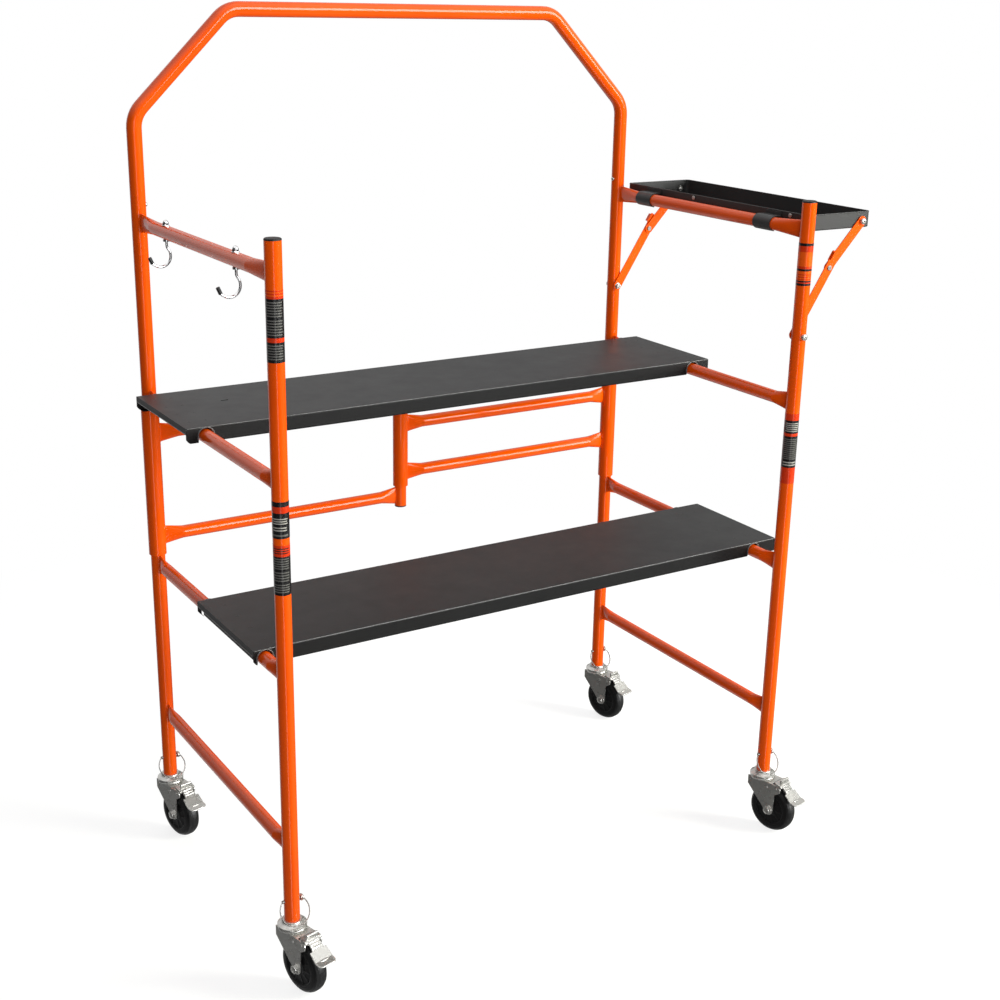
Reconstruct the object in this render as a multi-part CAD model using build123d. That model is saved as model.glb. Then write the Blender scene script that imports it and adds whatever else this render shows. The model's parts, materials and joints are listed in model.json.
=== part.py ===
"""Baker scaffold: two ladder end frames joined by a bifold back gate, two sheet steel decks,
a lift-out guard rail, a drop-down tool tray on folding braces, utility hooks and four
pinned, braked swivel casters.

Millimetres, +Z up, +X along the length (right), +Y from the open front to the gate side.
Pieces are modelled about the centre of the four posts at floor level. save() then moves
them so that the origin is on the floor under the centre of the overall bounding box.
"""

import math
import os

from build123d import *

os.makedirs("parts", exist_ok=True)

# ---------------------------------------------------------------- driving dimensions
LENGTH = 1120.0  # between post axes, end frame to end frame
DEPTH = 625.2  # between post axes, front to rear
POST_X = LENGTH / 2
POST_Y = DEPTH / 2
CENTRE_X = 74.7  # bounding box centre, measured from the centre of the four posts
CENTRE_Y = -37.9

POST_R = 14.3
POST_BORE = 12.5
POST_BOTTOM = 133.0
FRONT_POST_TOP = 1356.0
REAR_POST_TOP = 1351.5
CAP_TOP = 1359.5

TUBE_R = 12.7  # rung and rail tube
TUBE_WALL = 1.5
FLAT_H = 19.3  # half height of a pinched tube end
FLAT_T = 4.0  # half thickness of a pinched tube end
BAR_FLAT_H = 17.6  # half height of the top bar's pinched ends
PINCH_GAP = 1.0  # from the upright's surface to the start of the flare
STUB_REACH = 0.45  # where a flat end stops inside an upright, as a share of its radius
RUNG_FLARE = 36.0
BAR_FLARE = 72.0
RUNG_Z = (279.0, 612.5, 957.5)
BAR_Z = 1303.0

PIN_Z = POST_BOTTOM + 38.0
PIN_R = 3.0
PIN_HOLE_R = 3.15
BUTTON_R = 4.0
BUTTON_Z = REAR_POST_TOP - 16.0
BUTTON_TIP = 17.4  # from the post axis

# Brace pivots as (x, z)
BRACE_POST = (POST_X, 1094.0)
BRACE_KNEE = (641.0, 1221.0)
BRACE_TRAY = (723.0, 1308.4)

ORANGE = Color(0.93, 0.32, 0.02)
DECK_GREY = Color(0.16, 0.16, 0.165)
BLACK = Color(0.03, 0.03, 0.032)
ZINC = Color(0.66, 0.67, 0.69)
CHROME = Color(0.82, 0.83, 0.85)
RUBBER = Color(0.05, 0.05, 0.05)


# ---------------------------------------------------------------- helpers
def along(start, end):
    """Unit direction and distance from start to end."""
    offset = Vector(end) - Vector(start)
    return offset.normalized(), offset.length


def rod(start, end, radius, bore=0):
    """Round bar between two points, or a tube if it has a bore."""
    direction, length = along(start, end)
    x_dir = (0, 1, 0) if abs(direction.Y) < 0.7 else (0, 0, 1)
    section = Circle(radius)
    if bore:
        section = Circle(radius) - Circle(bore)
    return extrude(Plane(origin=start, x_dir=x_dir, z_dir=direction) * section, amount=length)


def rod_x(x_span, y, z, radius):
    return rod((x_span[0], y, z), (x_span[1], y, z), radius)


def rod_y(x, y_span, z, radius, bore=0):
    return rod((x, y_span[0], z), (x, y_span[1], z), radius, bore)


def rod_z(x, y, z_span, radius, bore=0):
    return rod((x, y, z_span[0]), (x, y, z_span[1]), radius, bore)


def box(*spans):
    """Box from its X, Y and Z spans, each with its ends in either order."""
    centre = [(start + end) / 2 for start, end in spans]
    size = [abs(end - start) for start, end in spans]
    return Pos(*centre) * Box(*size)


def prism_xz(points, y_span):
    """A flat outline in X and Z, given thickness along Y."""
    plane = Plane(origin=(0, max(y_span), 0), x_dir=(1, 0, 0), z_dir=(0, -1, 0))
    return extrude(plane * Polygon(*points, align=None), amount=max(y_span) - min(y_span))


def turned(profile):
    """A (radius, z) profile revolved about Z."""
    return revolve(Plane.XZ * Polygon(*profile, align=None), Axis.Z)


def hexagon(across, height):
    """Hexagonal prism, sized across flats."""
    return extrude(RegularPolygon(across / math.sqrt(3), 6), amount=height)


def largest(shape):
    return max(shape.solids(), key=lambda solid: solid.volume)


def pinched(start, end, start_r, end_r, flare, radius, half_height, half_thickness):
    """Solid bar between the axes of two uprights of radius start_r and end_r, round in
    the middle and pinched tall and thin at both ends."""
    direction, length = along(start, end)
    side = (1, 0, 0) if abs(direction.Y) > 0.7 else (0, 1, 0)

    def at(distance):
        return Plane(origin=Vector(start) + direction * distance, x_dir=side, z_dir=direction)

    flat_1 = start_r + PINCH_GAP
    round_1 = flat_1 + flare
    flat_2 = length - end_r - PINCH_GAP
    round_2 = flat_2 - flare
    stub_1 = start_r * STUB_REACH
    stub_2 = length - end_r * STUB_REACH
    circle = Circle(radius)
    oval = Ellipse(half_thickness, half_height)
    body = extrude(at(round_1) * circle, amount=round_2 - round_1)
    body += loft([(at(flat_1) * oval).face(), (at(round_1) * circle).face()])
    body += loft([(at(round_2) * circle).face(), (at(flat_2) * oval).face()])
    body += extrude(at(stub_1) * oval, amount=flat_1 - stub_1)
    body += extrude(at(flat_2) * oval, amount=stub_2 - flat_2)
    return body


def pinched_tube(start, end, start_r, end_r, flare, half_height=FLAT_H):
    """Hollow pinched tube, coped to the uprights at both ends."""
    place = (start, end, start_r, end_r, flare)
    tube = pinched(*place, TUBE_R, half_height, FLAT_T)
    tube -= pinched(*place, TUBE_R - TUBE_WALL, half_height - TUBE_WALL, FLAT_T - TUBE_WALL)
    for (x, y, z), radius in ((start, start_r), (end, end_r)):
        tube -= rod_z(x, y, (z - 60, z + 60), radius + 0.02)
    return largest(tube)


def save(name, color, *items):
    """Move the solids to the final origin and write them as one STEP file."""
    shift = Location((-CENTRE_X, -CENTRE_Y, 0))
    parts = [solid.moved(shift) for item in items for solid in item.solids()]
    shape = parts[0] if len(parts) == 1 else Compound(children=parts)
    shape.label = name
    shape.color = color
    for part in parts:
        part.color = color
    export_step(shape, f"parts/{name}.step")


# ---------------------------------------------------------------- end frames
HOOK_Y = (-160.0, 167.5)
HOOK_WIRE = 2.4  # wire radius

# Upper race of a caster: (radius, z)
UPPER_RACE = [
    (0, 120.6), (25.5, 120.6), (27.0, 122.2), (27.0, 124.2), (20.0, 128.6), (0, 128.6),
]


def post(side, y):
    """Post of the left (side -1) or right (side +1) frame, with its cross holes."""
    x = side * POST_X
    top = FRONT_POST_TOP if y < 0 else REAR_POST_TOP
    tube = rod_z(x, y, (POST_BOTTOM, top), POST_R, POST_BORE)
    tube -= rod_x((x - 30, x + 30), y, PIN_Z, PIN_HOLE_R)
    if y > 0:
        tube -= rod_x((x, x - side * 30), y, BUTTON_Z, BUTTON_R + 0.3)
    if side > 0:
        tube -= rod_y(BRACE_POST[0], (y - 30, y + 30), BRACE_POST[1], 3.1)
    return tube


def cross_tube(x, z, flare, half_height):
    """Tube from the front post to the rear post."""
    ends = ((x, -POST_Y, z), (x, POST_Y, z))
    return pinched_tube(*ends, POST_R, POST_R, flare, half_height)


def top_bar(side):
    x = side * POST_X
    bar = cross_tube(x, BAR_Z, BAR_FLARE, BAR_FLAT_H)
    if side < 0:
        for y in HOOK_Y:
            bar -= rod_z(x, y, (BAR_Z - 30, BAR_Z + 30), HOOK_WIRE + 0.1)
    return bar


def post_cap(x):
    """Rounded cap on the front post, with a plug inside the bore."""
    disc = extrude(Circle(POST_R), amount=CAP_TOP - FRONT_POST_TOP)
    cap = Pos(x, -POST_Y, FRONT_POST_TOP) * disc
    cap = fillet(cap.edges().group_by(Axis.Z)[-1], 2.4)
    cap += rod_z(x, -POST_Y, (FRONT_POST_TOP - 22, FRONT_POST_TOP), POST_BORE - 0.05)
    return cap


def caster_stem(x, y):
    """Fixed half of a caster: stem in the post, collar, upper race and kingpin."""
    stem = rod_z(x, y, (POST_BOTTOM, POST_BOTTOM + 78), 12.35)
    stem = chamfer(stem.edges().group_by(Axis.Z)[-1], 1.5)
    stem += rod_z(x, y, (POST_BOTTOM - 4.5, POST_BOTTOM), 18.0)
    stem += Pos(x, y, 0) * turned(UPPER_RACE)
    stem += rod_z(x, y, (107, 121), 6.0)
    stem += rod_z(x, y, (107.5, 111.4), 9.5)
    stem -= rod_x((x - 20, x + 20), y, PIN_Z, PIN_HOLE_R)
    return stem


def locking_pin(x, y):
    """Headed cross pin with a wire bow hanging from its two ends."""
    pin = rod_x((x - 18.5, x + 19.5), y, PIN_Z, PIN_R)
    pin += rod_x((x + 16.0, x + 22.0), y, PIN_Z, 4.6)
    path = ThreePointArc(
        (x - 17.6, y, PIN_Z),
        (x - 1.0, y - 26.5, PIN_Z - 40.5),
        (x + 20.0, y, PIN_Z),
    )
    wire = sweep(Plane(origin=path @ 0, z_dir=path % 0) * Circle(1.1), path=path)
    return pin + wire


for side, tag in ((1, "right"), (-1, "left")):
    x = side * POST_X
    save(f"{tag}_front_post", ORANGE, post(side, -POST_Y))
    save(f"{tag}_rear_post", ORANGE, post(side, POST_Y))
    save(f"{tag}_rungs", ORANGE, *[cross_tube(x, z, RUNG_FLARE, FLAT_H) for z in RUNG_Z])
    save(f"{tag}_top_bar", ORANGE, top_bar(side))
    save(f"{tag}_post_cap", BLACK, post_cap(x))
    save(f"{tag}_caster_stems", ZINC, caster_stem(x, -POST_Y), caster_stem(x, POST_Y))
    save(f"{tag}_locking_pins", ZINC, locking_pin(x, -POST_Y), locking_pin(x, POST_Y))

# ---------------------------------------------------------------- utility hooks
HOOK_X = -POST_X
BAR_UNDER = BAR_Z - TUBE_R
BAR_OVER = BAR_Z + TUBE_R
SHANK_END = BAR_UNDER - 10.0

# Hook centre line from the shank's end to the tip: (x from the shank, z from BAR_UNDER)
HOOK_CURVE = [
    (0, -10.0), (4.4, -21.0), (6.5, -32.0), (1.5, -43.5),
    (-12.0, -49.5), (-25.5, -45.0), (-33.0, -33.0),
]


def hook_curve(y):
    points = [(HOOK_X + out, y, BAR_UNDER + up) for out, up in HOOK_CURVE]
    return Spline(*points, tangents=[(0, 0, -1), (-0.3, 0, 1)])


def hook_bow(y, curve, radius):
    plane = Plane(origin=(HOOK_X, y, SHANK_END), x_dir=(1, 0, 0), z_dir=(0, 0, -1))
    return sweep(plane * Circle(radius), path=curve)


def utility_hook(y):
    """Wire hook with a shank through the top bar and a collar under the bar."""
    shank = rod_z(HOOK_X, y, (SHANK_END, BAR_OVER + 7.0), HOOK_WIRE)
    bow = hook_bow(y, hook_curve(y), HOOK_WIRE)
    collar = rod_z(HOOK_X, y, (BAR_UNDER - 3.6, BAR_UNDER - 0.1), 6.2)
    return shank.fuse(bow, collar).solids()[0]


def hook_nut(y):
    """Domed nut on top of the bar."""
    nut = Pos(HOOK_X, y, BAR_OVER + 0.1) * hexagon(10.0, 5.0)
    nut += Pos(HOOK_X, y, BAR_OVER + 5.1) * (Sphere(4.9) & Pos(0, 0, 5) * Box(20, 20, 10))
    nut -= rod_z(HOOK_X, y, (BAR_Z, BAR_OVER + 7.1), HOOK_WIRE + 0.03)
    return nut


def hook_tip(y):
    """Sleeve over the end of the hook, reaching a little past it."""
    curve = hook_curve(y)
    tip = rod(curve @ 0.87, curve @ 1 + (curve % 1) * 1.5, HOOK_WIRE + 1.1)
    tip -= hook_bow(y, curve, HOOK_WIRE + 0.02)
    return largest(tip)


save("utility_hooks", CHROME, *[utility_hook(y) for y in HOOK_Y])
save("hook_nuts", CHROME, *[hook_nut(y) for y in HOOK_Y])
save("hook_tips", BLACK, *[hook_tip(y) for y in HOOK_Y])

# ---------------------------------------------------------------- bifold back gate
SLEEVE_R = 17.5
HINGE_TUBE_R = 12.7
HINGE_TUBE_BORE = 10.9
HINGE_TUBE_Z = (647.0, 908.0)
MID_SLEEVE_R = 16.3
LEFT_RAIL_Z = (670.5, 886.5)
RIGHT_RAIL_Z = (722.7, 832.7)

# Gate uprights: name, x, z span, radius, bore
GATE_UPRIGHTS = (
    ("right_gate_post_sleeve", POST_X, (632.8, 937.0), SLEEVE_R, 14.5),
    ("right_gate_mid_sleeve", 0, (692.5, 866.0), MID_SLEEVE_R, 12.9),
    ("left_gate_post_sleeve", -POST_X, (632.8, 937.0), SLEEVE_R, 14.5),
    ("left_gate_hinge_tube", 0, HINGE_TUBE_Z, HINGE_TUBE_R, HINGE_TUBE_BORE),
)


def gate_rails(x_span, heights, start_r, end_r):
    return [
        pinched_tube((x_span[0], POST_Y, z), (x_span[1], POST_Y, z), start_r, end_r, RUNG_FLARE)
        for z in heights
    ]


def hinge_plug(z, outward):
    """End disc on the hinge tube, with a plug inside the bore."""
    plug = rod_z(0, POST_Y, (z, z + outward * 2.5), HINGE_TUBE_R)
    plug += rod_z(0, POST_Y, (z - outward * 18, z), HINGE_TUBE_BORE - 0.05)
    return plug


for name, x, z_span, radius, bore in GATE_UPRIGHTS:
    save(name, ORANGE, rod_z(x, POST_Y, z_span, radius, bore))
right_rails = gate_rails((0, POST_X), RIGHT_RAIL_Z, MID_SLEEVE_R, SLEEVE_R)
left_rails = gate_rails((-POST_X, 0), LEFT_RAIL_Z, SLEEVE_R, HINGE_TUBE_R)
save("right_gate_rails", ORANGE, *right_rails)
save("left_gate_rails", ORANGE, *left_rails)
hinge_plugs = [hinge_plug(z, outward) for z, outward in zip(HINGE_TUBE_Z, (-1, 1))]
save("hinge_tube_plugs", BLACK, *hinge_plugs)

# ---------------------------------------------------------------- decks
DECK_X = (-590.0, 612.0)
DECK_WIDTH = 266.0
DECK_SHEET = 1.5
DECK_UP = 18.0  # deck surface above the rung axis
DECK_DOWN = 11.5  # flange edge below the rung axis
DECK_LIP = 12.0  # inward lip under each long flange
END_LIP = 11.0  # depth of the end lips below the deck surface
UPPER_DECK_Y = 143.0
LOWER_DECK_Y = -95.0
NOTCH_R = 14.5
NOTCH_UP = 1.4  # notch centre above the rung axis
SADDLE_SHEET = 1.6


def deck(y_mid, rung_z, shift, slot_x=None):
    """Folded deck panel, notched over the end rungs."""
    sheet = DECK_SHEET
    left, right = DECK_X[0] + shift, DECK_X[1] + shift
    front, rear = y_mid - DECK_WIDTH / 2, y_mid + DECK_WIDTH / 2
    bottom, top = rung_z - DECK_DOWN, rung_z + DECK_UP
    past_x = (left - 5, right + 5)
    past_y = (front - 5, rear + 5)
    inside_y = (front + sheet, rear - sheet)

    panel = box((left, right), (front, rear), (bottom, top))
    panel = fillet(panel.edges().filter_by(Axis.X), 3.0)
    hollow = box(past_x, inside_y, (bottom + sheet, top - sheet))
    panel -= fillet(hollow.edges().filter_by(Axis.X), 1.5)
    # open the underside between the inward lips
    panel -= box(past_x, (front + DECK_LIP, rear - DECK_LIP), (bottom - 5, bottom + sheet + 0.5))
    # short turned-down end lips
    panel += box((left, left + sheet), inside_y, (top - END_LIP, top - sheet))
    panel += box((right - sheet, right), inside_y, (top - END_LIP, top - sheet))
    notch_z = rung_z + NOTCH_UP
    for x in (-POST_X, POST_X):
        arch = rod_y(x, past_y, notch_z, NOTCH_R)
        arch += box((x - NOTCH_R, x + NOTCH_R), past_y, (bottom - 5, notch_z))
        panel -= arch
    # lower outer corners of the flanges swept up towards the ends
    for x, inward in ((left, 1), (right, -1)):
        corner = [
            (x - inward * 2, bottom - 2),
            (x + inward * 11, bottom - 2),
            (x + inward * 4, bottom + 3.2),
            (x - inward * 2, bottom + 11),
        ]
        panel -= prism_xz(corner, past_y)
    if slot_x is not None:
        panel -= Pos(slot_x, y_mid + 26, top - 5) * extrude(SlotOverall(16, 4.5), amount=10)
    return largest(panel)


def saddle(x, y_mid, rung_z):
    """Inverted sheet channel over a rung, with feet up to the deck sheet."""
    front, rear = y_mid - DECK_WIDTH / 2 + 6, y_mid + DECK_WIDTH / 2 - 16
    past_y = (front - 1, rear + 1)
    bottom = rung_z - 6.0
    arch_z = rung_z - 1.75
    outer_r = NOTCH_R + SADDLE_SHEET
    channel = rod_y(x, (front, rear), arch_z, outer_r)
    channel &= box((x - 20, x + 20), (front, rear), (arch_z, arch_z + 20))
    channel += box((x - outer_r, x + outer_r), (front, rear), (bottom, arch_z))
    channel -= rod_y(x, past_y, arch_z, NOTCH_R)
    channel -= box((x - NOTCH_R, x + NOTCH_R), past_y, (bottom - 1, arch_z))
    top = rung_z + DECK_UP - DECK_SHEET
    for way in (-1, 1):
        foot_x = (x + way * (NOTCH_R + 0.2), x + way * outer_r)
        channel += box(foot_x, (front, rear), (arch_z, top))
    return channel


for tag, y_mid, rung_z, shift, slot_x in (
    ("upper", UPPER_DECK_Y, RUNG_Z[2], -8.0, -460.0),
    ("lower", LOWER_DECK_Y, RUNG_Z[1], 8.0, None),
):
    save(f"{tag}_deck_panel", DECK_GREY, deck(y_mid, rung_z, shift, slot_x))
    saddles = [saddle(x, y_mid, rung_z) for x in (-POST_X, POST_X)]
    save(f"{tag}_deck_saddles", DECK_GREY, *saddles)

# ---------------------------------------------------------------- guard rail
GUARD_R = POST_R
GUARD_BORE = POST_BORE
GUARD_BEND_Z = 1499.0
GUARD_BEVEL_X = 192.5
GUARD_TOP_Z = 1690.0
GUARD_BEND_R = 55.0
GUARD_FOOT_Z = REAR_POST_TOP + 0.05
SPIGOT_TOP = REAR_POST_TOP + 14
SPIGOT_END = REAR_POST_TOP - 32.0

# Spigot wall: (radius, z)
SPIGOT_PROFILE = [
    (9.8, SPIGOT_TOP),
    (GUARD_BORE + 0.3, SPIGOT_TOP),
    (GUARD_BORE + 0.3, GUARD_FOOT_Z),
    (12.2, GUARD_FOOT_Z),
    (12.2, SPIGOT_END + 20),
    (11.5, SPIGOT_END + 10),
    (10.4, SPIGOT_END),
    (8.6, SPIGOT_END),
    (9.8, SPIGOT_END + 10),
]


def guard_rail():
    """Bent tube between the rear posts, with a hollow spigot in each post."""
    path = FilletPolyline(
        (-POST_X, POST_Y, GUARD_FOOT_Z),
        (-POST_X, POST_Y, GUARD_BEND_Z),
        (-POST_X + GUARD_BEVEL_X, POST_Y, GUARD_TOP_Z),
        (POST_X - GUARD_BEVEL_X, POST_Y, GUARD_TOP_Z),
        (POST_X, POST_Y, GUARD_BEND_Z),
        (POST_X, POST_Y, GUARD_FOOT_Z),
        radius=GUARD_BEND_R,
    )
    foot = Plane(origin=(-POST_X, POST_Y, GUARD_FOOT_Z), x_dir=(1, 0, 0), z_dir=(0, 0, 1))
    guard = sweep(foot * (Circle(GUARD_R) - Circle(GUARD_BORE)), path=path)
    for side in (-1, 1):
        x = side * POST_X
        guard += Pos(x, POST_Y, 0) * turned(SPIGOT_PROFILE)
        guard -= rod_x((x, x - side * 20), POST_Y, BUTTON_Z, BUTTON_R + 0.12)
    return guard


def snap_button(side):
    """Domed button pointing to the middle of the scaffold."""
    x = side * POST_X
    dome_x = x - side * (BUTTON_TIP - 2.0)
    button = rod_x((x - side * 3.0, dome_x), POST_Y, BUTTON_Z, BUTTON_R)
    dome = Pos(dome_x, POST_Y, BUTTON_Z) * scale(Sphere(BUTTON_R), by=(0.5, 1, 1))
    return button + dome


save("guard_rail", ORANGE, guard_rail())
save("snap_button_left", ZINC, snap_button(-1))
save("snap_button_right", ZINC, snap_button(1))

# ---------------------------------------------------------------- tool tray
TRAY_X = (577.5, 747.0)
TRAY_HALF_Y = 292.2
TRAY_Z = (1295.5, 1327.0)
TRAY_SHEET = 1.5
CLIP_Y = (-193.0, 198.0)
CLIP_W = 50.0
CLIP_IN = 13.1
CLIP_OUT = 15.1
SCREWS = ((60.0, 1321.0), (-243.0, 1321.0))  # (y, z)


def tool_tray():
    """Open tray with rounded corners, holed for the brace bolts and the screws."""
    left, right = TRAY_X
    bottom, top = TRAY_Z
    inner_y = TRAY_HALF_Y - TRAY_SHEET
    tray = box(TRAY_X, (-TRAY_HALF_Y, TRAY_HALF_Y), TRAY_Z)
    tray = fillet([e for e in tray.edges().filter_by(Axis.Z) if e.center().X > 700], 9.0)
    tray = fillet([e for e in tray.edges().filter_by(Axis.Z) if e.center().X < 600], 3.0)
    tray = fillet(tray.edges().group_by(Axis.Z)[0], 2.6)
    pan = box(
        (left + TRAY_SHEET, right - TRAY_SHEET),
        (-inner_y, inner_y),
        (bottom + TRAY_SHEET, top + 20),
    )
    pan = fillet([e for e in pan.edges().filter_by(Axis.Z) if e.center().X > 700], 7.5)
    tray -= pan
    for y in (-TRAY_HALF_Y, TRAY_HALF_Y):
        tray -= rod_y(BRACE_TRAY[0], (y - 10, y + 10), BRACE_TRAY[1], 3.02)
    for y, z in SCREWS:
        tray -= rod_x((left - 5, left + 5), y, z, 2.05)
    return tray


def tray_clip(y):
    """Half ring round the outside (-X side) of the top bar, carried over to the tray wall."""
    y_span = (y - CLIP_W / 2, y + CLIP_W / 2)
    wall_x = TRAY_X[0] - 0.02
    plate_z = BAR_Z + CLIP_IN
    clip = rod_y(POST_X, y_span, BAR_Z, CLIP_OUT, CLIP_IN)
    clip &= box((POST_X - 30, POST_X), (y_span[0] - 1, y_span[1] + 1), (BAR_Z - 30, BAR_Z + 30))
    clip += box((POST_X, wall_x), y_span, (plate_z, BAR_Z + CLIP_OUT))
    clip += box((TRAY_X[0] - 2.0, wall_x), y_span, (plate_z, TRAY_Z[1] - 2.0))
    return clip


def tray_screw(y, z):
    wall_x = TRAY_X[0] - 0.02
    shank = rod_x((wall_x, TRAY_X[0] + 6), y, z, 2.0)
    head = rod_x((TRAY_X[0] - 2.2, wall_x), y, z, 4.2)
    head = fillet(head.edges().group_by(Axis.X)[0], 1.0)
    return shank + head


save("tool_tray", BLACK, tool_tray())
save("tray_clips", BLACK, *[tray_clip(y) for y in CLIP_Y])
save("tray_screws", ZINC, *[tray_screw(y, z) for y, z in SCREWS])

# ---------------------------------------------------------------- folding braces
# "way" is -1 for the front brace and +1 for the rear brace.
LINK_W = 20.0
LINK_T = 2.4
LOWER_LINK_Y = 297.9  # outer face, measured from the centre plane
UPPER_LINK_Y = 295.2
BOLT_R = 2.95
KNEE_TAB = 34.0  # lower link's reach past the knee


def brace_nut(x, y, z, way, height):
    """Hexagon growing from y towards the centre plane."""
    plane = Plane(origin=(x, y, z), x_dir=(1, 0, 0), z_dir=(0, -way, 0))
    return extrude(plane * RegularPolygon(5.8, 6), amount=height)


def tray_bolt(way):
    """Shank through tray wall and upper link, head outside and nut inside the tray."""
    x, z = BRACE_TRAY
    head_y = way * (UPPER_LINK_Y + 0.05)
    bolt = rod_y(x, (way * (TRAY_HALF_Y - 6.5), head_y), z, BOLT_R)
    bolt += rod_y(x, (head_y, way * (UPPER_LINK_Y + 3.4)), z, 6.0)
    bolt += brace_nut(x, way * (TRAY_HALF_Y - TRAY_SHEET - 0.02), z, way, 4.4)
    return bolt


def post_bolt(way):
    """Bolt through post and lower link, its head hollowed to sit on the round post."""
    x, z = BRACE_POST
    outer = POST_Y + POST_R
    inner = LOWER_LINK_Y - LINK_T
    x_span, z_span = (x - 20, x + 20), (z - 20, z + 20)
    bolt = rod_y(x, (way * (outer + 4.2), way * (inner - 5.6)), z, BOLT_R)
    bolt += rod_y(x, (way * (outer - 0.6), way * (outer + 3.4)), z, 6.2)
    bolt += brace_nut(x, way * (inner - 0.15), z, way, 4.6)
    head = bolt & box(x_span, (way * POST_Y, way * (POST_Y + 40)), z_span)
    body = bolt & box(x_span, (way * POST_Y, way * (POST_Y - 60)), z_span)
    # the ring spares the shank when the head is cut to the post
    ring = rod_y(x, (way * (outer - 1.0), way * (outer + 4.2)), z, 6.3)
    ring -= rod_y(x, (way * (outer - 2.0), way * (outer + 5.2)), z, 2.94)
    wedge = ring & rod_z(x, way * POST_Y, z_span, POST_R + 0.02)
    return (head - wedge) + body


def link(start, end, reach, outer_y, way):
    """Flat round-ended link between two pivots, running on by reach past the end pivot."""
    run, rise = end[0] - start[0], end[1] - start[1]
    span = math.hypot(run, rise)
    total = span + LINK_W / 2 + reach
    plane = Plane(
        origin=(start[0], max(way * outer_y, way * (outer_y - LINK_T)), start[1]),
        x_dir=(run / span, 0, rise / span),
        z_dir=(0, -1, 0),
    )
    outline = Pos((total - LINK_W) / 2, 0) * SlotOverall(total, LINK_W)
    bar = extrude(plane * outline, amount=LINK_T)
    for pivot in (start, end):
        hole_r = 3.02 if pivot == BRACE_KNEE else 3.0
        through = (way * (outer_y + 3), way * (outer_y - LINK_T - 3))
        bar -= rod_y(pivot[0], through, pivot[1], hole_r)
    return bar


def lower_link(way):
    """Lower link with a tab folded outwards from the edge of its free end."""
    bar = link(BRACE_POST, BRACE_KNEE, KNEE_TAB, LOWER_LINK_Y, way)
    run, rise = BRACE_KNEE[0] - BRACE_POST[0], BRACE_KNEE[1] - BRACE_POST[1]
    span = math.hypot(run, rise)
    run, rise = run / span, rise / span
    edge = LINK_W / 2

    def from_knee(points):
        """(along, across) the link, measured from the knee, turned into (x, z)."""
        return [
            (BRACE_KNEE[0] + run * s - rise * h, BRACE_KNEE[1] + rise * s + run * h)
            for s, h in points
        ]

    web = [
        (10, 0), (KNEE_TAB, 0), (KNEE_TAB, edge + 0.6),
        (31, edge + 2.4), (13, edge + 2.4), (8, edge - 0.6),
    ]
    tab = [(13, edge), (31, edge), (31, edge + 2.4), (13, edge + 2.4)]
    inner_y = way * (LOWER_LINK_Y - LINK_T)
    bar += prism_xz(from_knee(web), (inner_y, way * LOWER_LINK_Y))
    bar += prism_xz(from_knee(tab), (inner_y, way * (LOWER_LINK_Y + 6.5)))
    return bar


def rivet_head(way):
    """Outer half of the knee rivet."""
    x, z = BRACE_KNEE
    seat_y = way * (LOWER_LINK_Y + 0.02)
    shank = rod_y(x, (way * (LOWER_LINK_Y - LINK_T), seat_y), z, 3.0)
    dome = rod_y(x, (seat_y, way * (LOWER_LINK_Y + 2.2)), z, 5.6)
    dome = fillet(dome.edges().group_by(Axis.Y)[0 if way < 0 else -1], 1.6)
    return shank + dome


def rivet_tail(way):
    """Inner half of the knee rivet."""
    x, z = BRACE_KNEE
    inner = UPPER_LINK_Y - LINK_T
    seat_y = way * (inner - 0.02)
    shank = rod_y(x, (way * UPPER_LINK_Y, seat_y), z, 3.0)
    return shank + rod_y(x, (seat_y, way * (inner - 1.8)), z, 5.0)


save("brace_tray_bolts", ZINC, tray_bolt(-1), tray_bolt(1))
save("brace_post_bolts", ZINC, post_bolt(-1), post_bolt(1))
for tag, way in (("front", -1), ("rear", 1)):
    upper_link = link(BRACE_KNEE, BRACE_TRAY, LINK_W / 2, UPPER_LINK_Y, way)
    save(f"{tag}_brace_lower_link", ORANGE, lower_link(way))
    save(f"{tag}_brace_upper_link", ORANGE, upper_link)
    save(f"{tag}_brace_rivet_head", ZINC, rivet_head(way))
    save(f"{tag}_brace_rivet_tail", ZINC, rivet_tail(way))

# ---------------------------------------------------------------- casters
# Modelled with the swivel axis on Z and the wheel trailing towards -Y.
WHEEL_R = 52.0
WHEEL_W = 30.0
TRAIL = 33.0
CASTER_YAW = 14.0
AXLE_R = 5.95
PLATE_T = 2.5
CROWN_Z = 114.0  # underside of the fork crown
PEDAL_W = 37.0
PEDAL_T = 2.5
PIVOT_Y = -50  # pedal pivot
PIVOT_Z = 108
PIVOT_R = 2.5

# Fork side plate: (distance behind the swivel axis, z)
SIDE_PLATE = [
    (-23, 116.5), (40, 116.5), (57, 113.5), (60, 109), (59, 101),
    (46, 92), (44.5, 52), (21.5, 52), (-23, 97),
]
# Lower race: (radius, z)
LOWER_RACE = [(7.5, 116.5), (25.5, 116.5), (26.5, 118.0), (25.5, 120.0), (7.5, 120.0)]
# Half the wheel section, hub to tread: (radius, inset from the wheel's side)
WHEEL_HALF = [
    (6.03, -1.2), (12.0, -1.2), (13.5, 1.6), (33.0, 2.6), (35.5, 0.6),
    (39.0, 0.2), (45.0, 1.0), (48.8, 3.6), (51.2, 8.0), (WHEEL_R, 11.0),
]
# Pedal centre line and ears: (distance behind the swivel axis, z)
PEDAL_LINE = [(43, 119.6), (57, 117.2), (73, 101.5), (88, 89.0), (101, 86.2)]
PEDAL_EAR = [(43.5, 119.0), (56.5, 117.0), (56, 108), (44, 108)]


def trailing(points):
    """Outline for Plane.YZ from (distance behind the swivel axis, z) points."""
    return Polygon(*[(-back, z) for back, z in points], align=None)


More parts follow.
